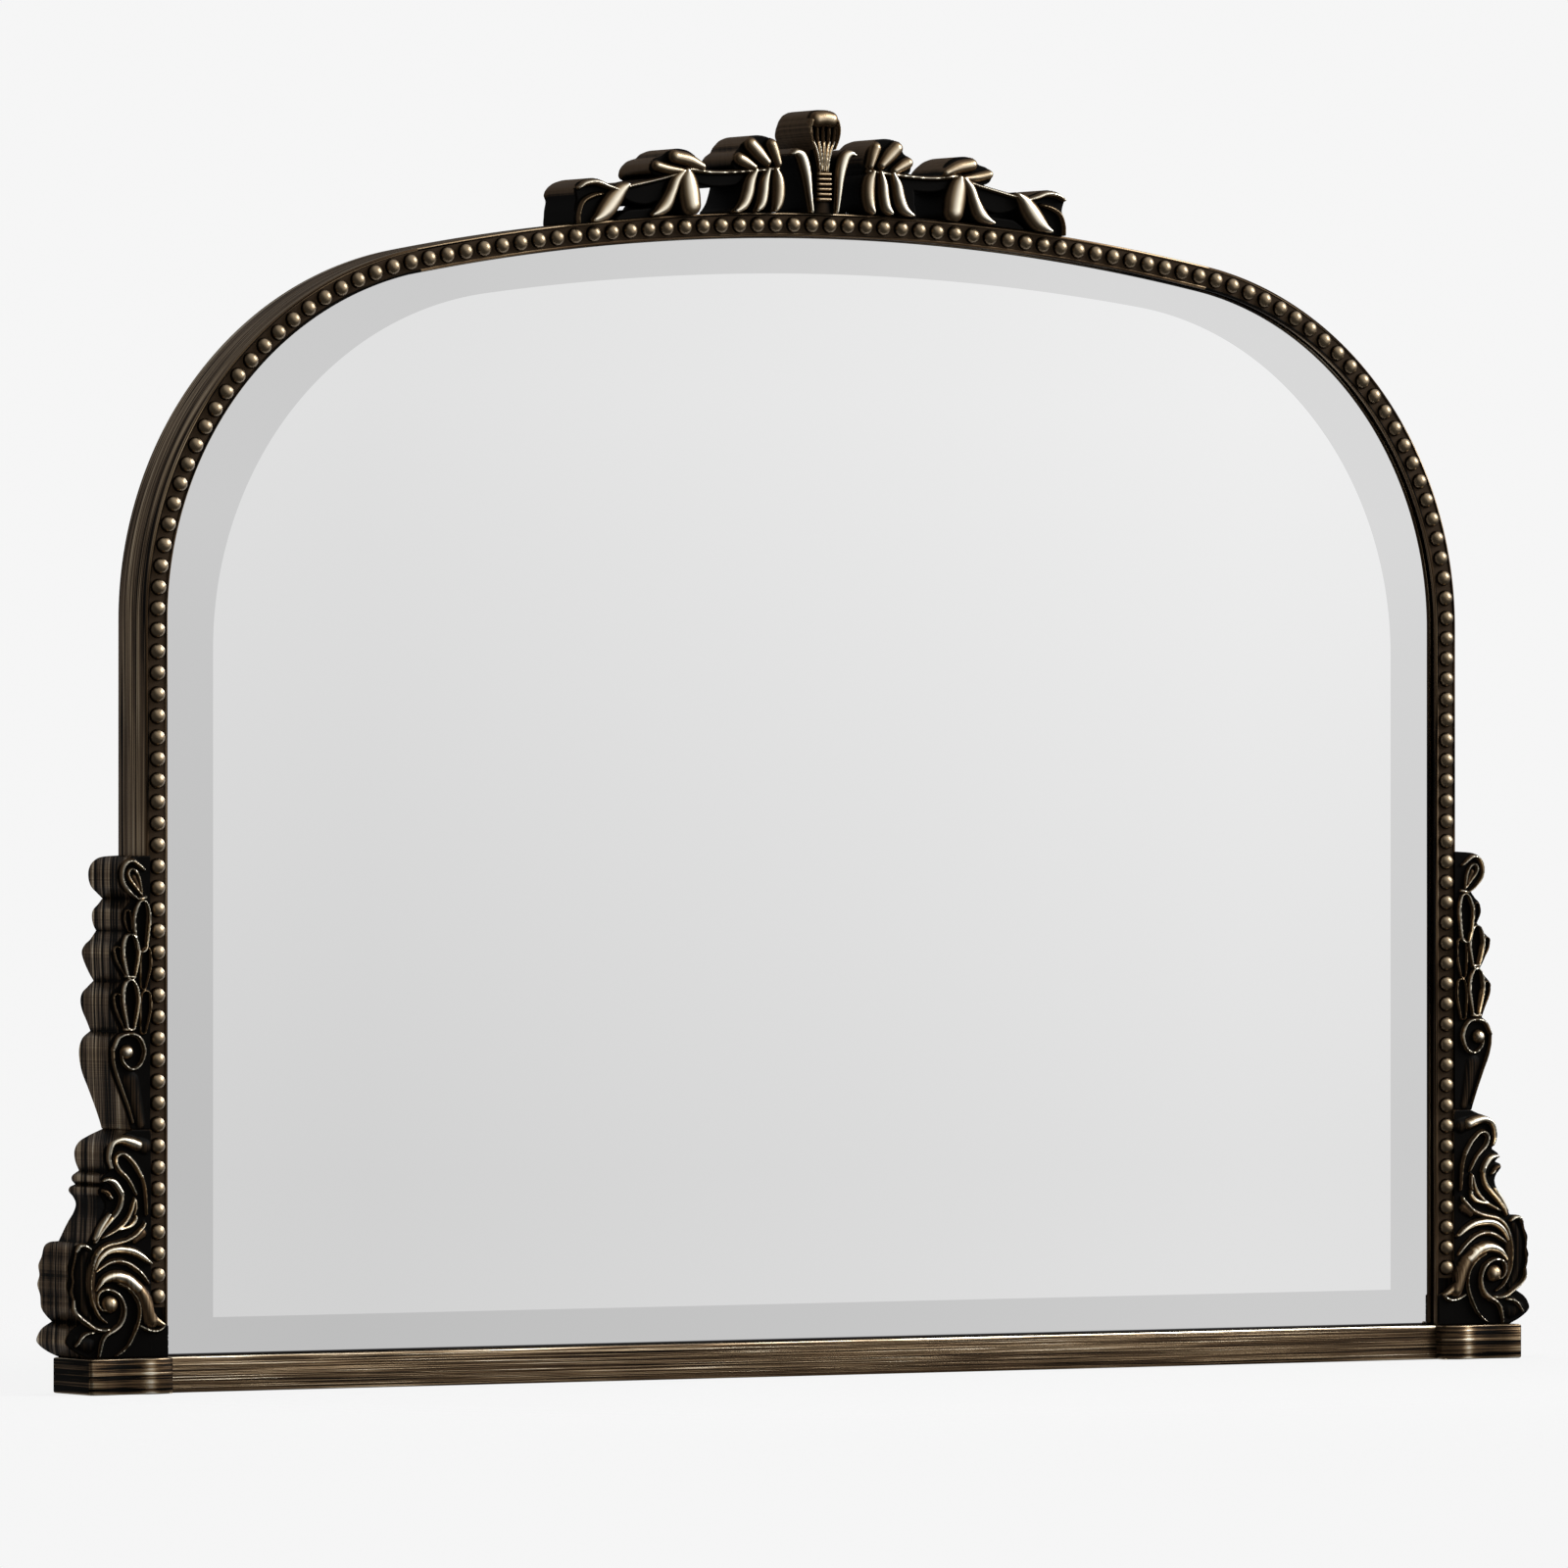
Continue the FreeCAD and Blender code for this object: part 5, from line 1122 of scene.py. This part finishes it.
class MIRROR_OT_drops(bpy.types.Operator):
    """Drops of husks on the sides of the stiles"""

    bl_idname = "mirror.drops"
    bl_label = "Husk drops"

    def execute(self, context):
        sizes, tones = context.scene.mirror_sizes, context.scene.mirror_finish
        work = Relief((-3, -1), (34, 193), 0.45)
        work.plate((
            ((-3, 0), (13.2, 0)),
            ((13.2, 0), (15.4, 7), (19.2, 17), (24.2, 29), (29.2, 41), (31.2, 54), (28.7, 63), (22.2, 68.5)),
            ((22.2, 68.5), (25.2, 75.5), (28.7, 83), (30, 89.5), (28.7, 95), (24.2, 99.5), (19.7, 103.5)),
            ((19.7, 103.5), (23.2, 109), (27.2, 117), (29, 123.5), (26.7, 128.5), (22.2, 132.5), (17.7, 138.5)),
            ((17.7, 138.5), (20, 143), (21, 148.5), (20, 153), (16.2, 156.8), (12.7, 161)),
            ((12.7, 161), (17.2, 165), (21.7, 169.5), (23.7, 175.5), (23.2, 182), (19.7, 187), (13.2, 190), (0, 191)),
            ((0, 191), (-3, 191)),
            ((-3, 191), (-3, 0)),
        ), 2.0)
        strokes = (
            # small scroll on top
            (((3.7, 181.2, 1.6), (8.6, 185, 2.4), (13, 187.4, 2.8), (18.2, 185.8, 2.8), (21.2, 180, 2.6), (20.3, 172, 2.4),
              (14.3, 164.8, 2), (8.3, 160.6, 1.2)), cusp, 7.5, 0.88),
            (((8, 168, 2.5), (12, 176, 3.4)), barrel, 5, 0.24),
            (((5.6, 163.4, 1.2), (10.4, 169, 1.8), (15, 174.6, 2.2), (16.6, 178.6, 2.2), (14.6, 181.6, 2.2),
              (10.8, 180.6, 2), (8, 176, 1.8), (6.6, 170, 1.6), (5.6, 163.4, 1.2)), cusp, 6.8, 0.80),
            # three husks, each with a middle petal and side petals
            (((15.2, 139.5, 1.8), (16.6, 146.3, 3.1), (16.6, 151, 2.6)), hollow, 6, 0.34),
            (((6.3, 128, 5), (6.3, 145, 7.4), (5.8, 151, 6.6), (5.4, 156, 4.6)), hollow, 7.5, 0.88),
            (((2.6, 162, 1.5), (7.4, 161.2, 1.5)), barrel, 6.6, 0.85),
            (((17.7, 108.4, 1.8), (22.4, 119.2, 4.2), (25, 125.2, 3.2)), hollow, 6, 0.40),
            (((4.4, 100, 2.8), (3, 114, 5.2), (2.6, 123.6, 4.4)), hollow, 6, 0.42),
            (((14.6, 107.6, 3.6), (15, 121, 7.4), (15.2, 128, 6.8), (15.4, 132.4, 4.8)), hollow, 8, 0.95),
            (((18, 71, 2.0), (22.6, 85.2, 4.8), (25, 92, 3.6)), hollow, 6, 0.40),
            (((4.4, 69, 2.8), (3, 84, 5.2), (2.6, 93.4, 4.4)), hollow, 6, 0.42),
            (((14.8, 72.6, 3.6), (15, 88, 7.4), (15.2, 96, 6.9), (15.4, 100.6, 4.8)), hollow, 8, 0.95),
            (((12, 106.6, 1.3), (18.4, 107, 1.3)), dome, 6.5, 0.72),
            (((12.4, 70, 1.5), (19, 70, 1.5)), dome, 6, 0.68),
            # console volute
            (((5, 49, 2.2), (3.8, 55.9, 2.6), (7.7, 64.2, 2.7), (15, 66.9, 2.7), (23.6, 64.4, 2.6), (28.4, 55.9, 2.4)),
             cusp, 7.5, 0.92),
            (((28.4, 57, 2.4), (28, 48, 2.2), (25.6, 39.6, 2.0), (21, 28, 1.8), (16.2, 16, 1.6), (12.4, 5, 1.2)), cusp, 6.5, 0.56),
            (((4.6, 51, 2.2), (6.4, 46.4, 2.2), (10, 43.2, 2.2), (15, 42.6, 2.2), (20, 46.6, 1.8), (22, 51.6, 1.2)), cusp, 7.2, 0.80),
            (((17.4, 54.4, 5.4), (18.2, 54.2, 5.4)), dome, 8, 0.82),
            (((6, 4, 5), (10, 18, 7.5), (14, 34, 9)), barrel, 3.4, 0.15),
        )
        for spine, form, top, shine in strokes:
            work.stroke(spine, form, top, 1.0, shine)
        unit = (DROP_HIGH[2] - DROP_LOW[2]) / 191
        side, foot = STILE_HIGH[0], DROP_LOW[2]

        def place(x, z):
            return np.minimum(side + x * unit, DROP_HIGH[0]), foot + np.clip(z, 0.0, 191.0) * unit

        back = STILE_HIGH[1] - sizes.back_gap
        # Walls a little lighter round the console at the foot
        console = np.clip((70 - work.z) / 10, 0, 1)
        whole = work.carve("right_pendant_skin", work.x + 1.9, place, STILE_LOW[1], back, 0.8, 0.12, 0.36 + 0.09 * console)
        finish = brushed_bronze("drop_bronze", tones, 2.2, 0.30)
        new_piece("right_pendant_skin", whole, finish, ["right_pendant"])
        twin = mirrored("left_pendant_skin", whole)
        new_piece("left_pendant_skin", twin, finish, ["left_pendant"])
        return {"FINISHED"}


class MIRROR_OT_crest(bpy.types.Operator):
    """Leaf garlands and palmette on the crown"""

    bl_idname = "mirror.crest"
    bl_label = "Crest"

    def execute(self, context):
        sizes, tones = context.scene.mirror_sizes, context.scene.mirror_finish
        arch = Arch(sizes)
        outer = (arch.large + arch.face) / MILLIMETRE
        centre = arch.centre / MILLIMETRE
        crown = CROWN_HIGH[2] / MILLIMETRE
        face, back = STILE_LOW[1], STILE_HIGH[1] - sizes.back_gap
        finish = brushed_bronze("crest_bronze", tones, 0.12, 0.32)

        def bent(spine):
            return [(x, centre + math.sqrt(outer ** 2 - x ** 2) + up, *wide) for x, up, *wide in spine]

        def place(x, z):
            return x * MILLIMETRE, np.minimum(z * MILLIMETRE, CREST_HIGH[2])

        def height(x, z):
            return np.hypot(x, z - centre) - outer

        def finished(name, work, wall_painted_shade, dip):
            above = height(work.x, work.z)
            return work.carve(name, above, place, face, back, 1.2, 0.05, wall_painted_shade(above), dip)

        garland = Relief((26, crown - 22), (210, crown + 60), 0.5)
        bodies = (
            ((36, 29), (35.4, 38), (37.6, 47), (43, 53), (52, 55.4), (61, 54.6), (66.4, 50.6), (69, 46), (74, 42.4),
             (75.4, 37.4), (73, 31.4), (60, 29)),
            ((99, 30), (102, 38), (110, 45), (120, 47.6), (128, 46.4), (133, 43), (139.6, 41.4), (143.6, 37.6), (142.6, 32),
             (136, 28.6), (120, 28.6)),
            ((169, 21.5), (179, 27), (189, 30.6), (200, 30.4), (205.4, 26), (204, 18), (205.4, 8), (204, -3), (186, -3)),
            ((64, 30), (100, 30), (112, 30), (108, 24), (96, 20), (84, 19), (72, 20), (66, 24)),
            ((128, 27), (150, 24), (168, 21), (162, 13), (148, 9), (136, 11)),
            ((134, 6.6), (150, 6.2), (164, 5.4), (172, -3), (134, -3)),
        )
        for line in bodies:
            line = bent(line)
            garland.plate((line, (line[-1], line[0])), 2.5)
        rolled = (
            (((38.6, 35, 3.4), (41.4, 43, 4.8), (43.6, 48.4, 5.0)), dome, 9, 0.66),
            (((48, 36, 3.8), (55, 43, 5.8), (61, 48.8, 5.8)), dome, 9.5, 0.70),
            (((59, 32.6, 3.2), (66, 36.6, 4.8), (70.6, 39, 4.8)), dome, 9, 0.68),
            (((102, 34, 3.4), (113, 39, 5.4), (124.4, 42, 5.4)), dome, 9.5, 0.68),
            (((118, 31.5, 2.8), (130, 33.6, 4), (139.4, 36.4, 4)), dome, 8.5, 0.66),
        )
        leaves = (
            # ribbon at the end
            (((172, 21.6, 1.4), (180, 24.5, 2.4), (189, 28.2, 2.8), (198, 28.2, 2.6), (203.6, 25.6, 1.6)), barrel, 9, 0.76),
            (((184, 19.4, 1.2), (192, 18.6, 2), (200, 15, 2), (203.4, 7, 1.8), (203.4, -3, 1.8)), barrel, 8, 0.46),
            # stems
            (((38, 31.4, 3), (58, 30, 2.4), (90, 29.3, 1.9), (112, 32.6, 3)), ridge, 7, 0.86),
            (((112, 32.6, 2.5), (130, 27.8, 1.9), (160, 23.3, 1.9), (173, 22, 2.2)), ridge, 7, 0.86),
            # lower petals
            (((41, 31, 2.2), (38.4, 24, 5.2), (37.6, 15, 5.8), (38.6, 7, 5.0), (41, 2, 2.2)), dome, 9, 0.72),
            (((47, 31, 2), (49.6, 22.5, 4.4), (50.8, 13, 4.8), (52.6, 6, 4.4), (56.2, 2, 2)), dome, 9, 0.80),
            (((57.5, 30.3, 2), (61.4, 22.5, 4.8), (63.6, 13.5, 5.4), (66.8, 6.4, 4.8), (71.4, 2.6, 3), (75, 1.4, 1.2)),
             dome, 9, 0.80),
            (((114.4, 31.5, 3), (113.4, 25, 7.6), (111.6, 15.6, 9.2), (110.2, 7.0, 8.6)), dome, 9, 0.78),
            (((117.6, 31.4, 2), (123.4, 25, 4.4), (127.4, 16, 5), (132, 7.6, 5.8), (138, 3.4, 3.6), (143, 1.8, 1.4)),
             dome, 9, 0.78),
            (((163.6, 24.4, 2), (169, 20.6, 5.4), (174.6, 14.6, 7.6), (180.6, 8, 7.4), (187, 3.2, 4.4), (192, 1.4, 1.6)),
             dome, 9.5, 0.80),
        )
        for spine, form, top, shine in rolled:
            garland.stroke(bent(spine), form, top, 2.0, shine)
        for spine, form, top, shine in leaves:
            garland.stroke(bent(spine), form, top, 2.0, shine, True)

        def leaf_painted_shade(above):
            # painted shade: walls low down under the stems are near black, walls higher up stay brown
            return 0.02 + 0.26 * np.clip((above - 0.11 * (200 - garland.x) - 12) / 12, 0, 1)

        def leaf_dip(x, z):
            return 0.28 * np.clip(height(x, z) - 0.11 * (200 - x) - 14, 0, None)

        mesh = finished("left_garland_turned", garland, leaf_painted_shade, leaf_dip)
        twin = mirrored("crest_left_garland_skin", mesh)
        new_piece("crest_left_garland_skin", twin, finish, ["crest_left_garland"])
        # A low dark web behind the petals of the right-hand garland only, partly backing and partly a sheet standing
        # for the shade in the gap
        backing_and_shade_web = bent(((64, 24), (76, 24), (78.5, 10), (79, -3), (64, -3)))
        garland.plate((backing_and_shade_web, (backing_and_shade_web[-1], backing_and_shade_web[0])), 2.5)
        mesh = finished("crest_right_garland_skin", garland, leaf_painted_shade, leaf_dip)
        new_piece("crest_right_garland_skin", mesh, finish, ["crest_right_garland"])

        shell = Relief((-32, crown - 6), (32, crown + 76), 0.4)
        hood = ((7.4, 30), (7.8, 40), (9.6, 47), (12, 53.6), (13.2, 61), (12.2, 67.6), (7.4, 72.7), (0, 74))
        hood += tuple((-x, up) for x, up in hood[-2::-1])
        hood = bent(hood)
        shell.plate((hood, (hood[-1], hood[0])), 1.6)
        solids = (
            (((-5.8, 67.2, 6.4), (0, 68, 6.4), (5.8, 67.2, 6.4)), dome, 9.6, 0.66),
            (((0, 32, 6), (0, 9, 6)), barrel, 3.5, 0.05),
            (((0, 11, 6), (0, 5, 8), (0, -3, 11)), barrel, 4.5, 0.14),
        )
        for spine, form, top, shine in solids:
            shell.stroke(bent(spine), form, top, 2.0, shine, True)
        for hand in (1, -1):
            spine = ((26.4, 42, 1.0), (22.5, 43.2, 3.0), (18.4, 40.6, 4.6), (15.6, 34, 4.8), (13.6, 25, 4.0), (12.4, 15, 3.0),
                     (11.2, 6, 2.2), (10.4, 1, 1.8))
            shell.stroke(bent([(hand * x, up, wide) for x, up, wide in spine]), dome, 8, 2.0, 0.88, True)
            spine = ((9.2, 46, 1.0), (11.6, 53.4, 1.5), (12.3, 60, 1.8), (10.8, 66.2, 2.4))
            shell.stroke(bent([(hand * x, up, wide) for x, up, wide in spine]), barrel, 8.5, 1.6, 0.55)
        for share in (-1, -0.5, 0, 0.5, 1):
            spine = ((3.4 * share, 30, 1.1), (4.2 * share, 38, 1.6), (6.4 * share, 46, 1.8), (8.6 * share, 51, 1.4))
            shell.stroke(bent(spine), barrel, 7.5 - abs(share), 1.6, 0.88)
            spine = ((8 * share, 49, 1.5), (9.6 * share, 55, 1.7), (10 * share, 62, 1.2))
            shell.stroke(bent(spine), barrel, 5.5, 1.6, 0.34)
        for rib in range(6):
            up = 9.8 + 3.6 * rib
            shell.stroke(bent(((-4.8, up, 1.7), (4.8, up, 1.8))), dome, 7.5, 2.5, 0.60)

        def shell_painted_shade(above):
            # painted shade: lower walls near black, upper walls brown
            return 0.02 + 0.26 * np.clip((above - 30) / 14, 0, 1)

        def shell_dip(x, z):
            return 0.45 * np.clip(height(x, z) - 52, 0, None)

        mesh = finished("crest_palmette_skin", shell, shell_painted_shade, shell_dip)
        new_piece("crest_palmette_skin", mesh, finish, ["crest_palmette"])
        return {"FINISHED"}


class MIRROR_OT_fixings(bpy.types.Operator):
    """Finishes of the board, battens, hangers and fixings behind the glass"""

    bl_idname = "mirror.fixings"
    bl_label = "Back and fixings"

    def execute(self, context):
        tones = context.scene.mirror_finish
        upright, level = wood("batten_wood", tones.batten, 2), wood("bottom_batten_wood", tones.batten, 0)
        steel, nickel = plated("fixing_steel", tones.steel, 0.28), plated("hanger_steel", tones.nickel, 0.26)
        dress = {
            "back_board": wood("back_board", tones.board, 0),
            "left_batten": upright, "right_batten": upright, "bottom_batten": level,
            "frame_dowels": wood("dowel_wood", tones.batten, 2),
            "glass_pads": rubber(tones.rubber),
        }
        for name in ("batten_screws", "ornament_screws", "hanger_screws", "retaining_points"):
            dress[name] = steel
        for name in ("left_hanger_strap", "right_hanger_strap", "left_hanger_ring", "right_hanger_ring"):
            dress[name] = nickel
        for name, material in dress.items():
            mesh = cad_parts[name].data
            mesh.materials.clear()
            mesh.materials.append(material)
        return {"FINISHED"}


class MIRROR_OT_stage(bpy.types.Operator):
    """Floor, background, light and camera"""

    bl_idname = "mirror.stage"
    bl_label = "Stage"

    def execute(self, context):
        scene, stage = context.scene, context.scene.mirror_stage
        self.world(scene, stage)
        self.floor(stage)
        self.glowing_reflection_card()
        self.lamp("key_light", stage.key_power, (3.9, -2.3, 3.0), 3.2)
        for name, spot in (("side_light", (-3.6, -2.2, 1.6)), ("top_light", (0.0, 0.6, 3.4))):
            self.lamp(name, stage.fill_power, spot, 1.8).visible_glossy = False
        camera = bpy.data.cameras.new("photo_camera")
        camera.lens, camera.sensor_width = stage.camera_lens, 36.0
        camera.clip_end = 60.0
        view = bpy.data.objects.new("photo_camera", camera)
        turn = stage.camera_turn
        way = (math.sin(-turn), math.cos(turn))
        view.location = (stage.camera_shift - way[0] * stage.camera_distance,
                         STILE_LOW[1] - way[1] * stage.camera_distance, stage.camera_height)
        view.rotation_euler = (math.pi / 2, 0.0, turn)
        scene.collection.objects.link(view)
        scene.camera = view
        scene.view_settings.view_transform = "Standard"
        return {"FINISHED"}

    @staticmethod
    def world(scene, stage):
        world = bpy.data.worlds.new("studio")
        scene.world = world
        make = Finish(world)
        path = make.node("ShaderNodeLightPath")
        rays = path.socket.node.outputs
        plain = [Wire(make.tree, rays[name]) for name in ("Is Camera Ray", "Is Transmission Ray")]
        glossy = Wire(make.tree, rays["Is Glossy Ray"])
        sharp = Wire(make.tree, rays["Is Singular Ray"])
        way = make.node("ShaderNodeTexCoord", None, None, 0)
        toward = make.node("ShaderNodeVectorMath", {"operation": "DOT_PRODUCT"}, {0: way, 1: (0.50, -0.55, 0.67)}, 1)
        left = make.node("ShaderNodeVectorMath", {"operation": "DOT_PRODUCT"}, {0: way, 1: (-0.51, 0.85, 0.13)}, 1)
        lit = stage.backdrop * (0.07 + 0.93 * toward.between(0.15, 1.0) + 0.30 * left.between(0.35, 0.95))
        lit = sharp * (0.82 * stage.backdrop) + (1.0 - sharp) * lit
        seen = (plain[0] + plain[1]).clipped()
        light = seen * stage.backdrop + (1.0 - seen) * (glossy * lit + (1.0 - glossy) * stage.ambient)
        glow = make.node("ShaderNodeBackground", None, {"Color": (1.0, 1.0, 1.0), "Strength": light})
        make.node("ShaderNodeOutputWorld", None, {"Surface": glow})

    @staticmethod
    def floor(stage):
        mesh = bpy.data.meshes.new("floor")
        ring = [(1.4 * math.cos(turn), 1.4 * math.sin(turn), 0.0) for turn in np.linspace(0, 2 * math.pi, 65)[:-1]]
        mesh.from_pydata(ring, [], [tuple(range(64))])
        floor = bpy.data.objects.new("floor", mesh)
        bpy.context.scene.collection.objects.link(floor)
        make = new_finish("floor")
        spread = make.node("ShaderNodeVectorMath", {"operation": "LENGTH"}, {0: make.here()}, 1)
        path = make.node("ShaderNodeLightPath")
        seen = Wire(make.tree, path.socket.node.outputs["Is Camera Ray"])
        glossy = Wire(make.tree, path.socket.node.outputs["Is Glossy Ray"])
        plain = make.node("ShaderNodeBsdfDiffuse", None, {"Color": (0.8, 0.8, 0.8)})
        pale = make.node("ShaderNodeEmission", None, {"Color": (1.0, 1.0, 1.0), "Strength": stage.backdrop})
        mixed = make.node("ShaderNodeMixShader", None, {0: 0.10 + 0.80 * seen, 1: plain, 2: pale})
        clear = make.node("ShaderNodeBsdfTransparent")
        faded = make.node("ShaderNodeMixShader", None, {
            0: (spread.between(0.35, 1.3) + glossy).clipped(), 1: mixed, 2: clear})
        make.node("ShaderNodeOutputMaterial", None, {"Surface": faded})
        mesh.materials.append(make.owner)

    @staticmethod
    def glowing_reflection_card():
        """A glowing card in front, hidden from the camera, that paints light into the reflections of the glass and the
        metal.
        """
        mesh = bpy.data.meshes.new("glowing_reflection_card")
        mesh.from_pydata([(0.6, -3.0, -0.7), (3.2, -3.0, -0.7), (3.2, -3.0, 1.6), (0.6, -3.0, 1.6)], [], [(0, 1, 2, 3)])
        wall = bpy.data.objects.new("glowing_reflection_card", mesh)
        bpy.context.scene.collection.objects.link(wall)
        make = new_finish("glowing_reflection_card")
        parts = make.node("ShaderNodeSeparateXYZ", None, {0: make.here()})
        across = Wire(make.tree, parts.socket.node.outputs[0])
        up = Wire(make.tree, parts.socket.node.outputs[2])
        tone = 0.69 + 0.118 * (across - 1.3).clipped() + 0.118 * ((up - 0.05) / 0.75).clipped()
        glow = make.node("ShaderNodeEmission", None, {"Color": (1.0, 1.0, 1.0), "Strength": tone})
        make.node("ShaderNodeOutputMaterial", None, {"Surface": glow})
        mesh.materials.append(make.owner)
        wall.visible_camera = wall.visible_diffuse = wall.visible_shadow = False

    @staticmethod
    def lamp(name, power, spot, size):
        light = bpy.data.lights.new(name, "AREA")
        light.energy, light.size = power, size
        lamp = bpy.data.objects.new(name, light)
        lamp.location = spot
        aim = np.array((0.0, 0.0, 0.45)) - np.array(spot)
        flat = math.hypot(aim[0], aim[1])
        lamp.rotation_euler = (math.pi / 2 + math.atan2(aim[2], flat), 0.0, math.atan2(-aim[0], aim[1]))
        bpy.context.scene.collection.objects.link(lamp)
        return lamp


class MIRROR_PT_panel(bpy.types.Panel):
    """Lists the pieces of the mirror"""

    bl_idname = "MIRROR_PT_panel"
    bl_label = "Arched mirror"
    bl_space_type = "VIEW_3D"
    bl_region_type = "UI"
    bl_category = "Mirror"

    def draw(self, context):
        for step in STEPS:
            self.layout.operator(step.bl_idname)
        for group in (context.scene.mirror_sizes, context.scene.mirror_finish, context.scene.mirror_stage):
            box = self.layout.box()
            for name in group.bl_rna.properties.keys():
                if name not in ("rna_type", "name"):
                    box.prop(group, name)


STEPS = (
    MIRROR_OT_frame, MIRROR_OT_base, MIRROR_OT_beads, MIRROR_OT_glass, MIRROR_OT_scrolls, MIRROR_OT_drops,
    MIRROR_OT_crest, MIRROR_OT_fixings, MIRROR_OT_stage,
)
GROUPS = (("mirror_sizes", MirrorSizes), ("mirror_finish", MirrorFinish), ("mirror_stage", MirrorStage))


def register():
    for name, group in GROUPS:
        bpy.utils.register_class(group)
        setattr(bpy.types.Scene, name, bpy.props.PointerProperty(type=group))
    for step in STEPS:
        bpy.utils.register_class(step)
    bpy.utils.register_class(MIRROR_PT_panel)


def unregister():
    bpy.utils.unregister_class(MIRROR_PT_panel)
    for step in reversed(STEPS):
        bpy.utils.unregister_class(step)
    for name, group in reversed(GROUPS):
        delattr(bpy.types.Scene, name)
        bpy.utils.unregister_class(group)


def main():
    register()
    for step in STEPS:
        family, name = step.bl_idname.split(".")
        getattr(getattr(bpy.ops, family), name)()


if __name__ == "__main__":
    main()
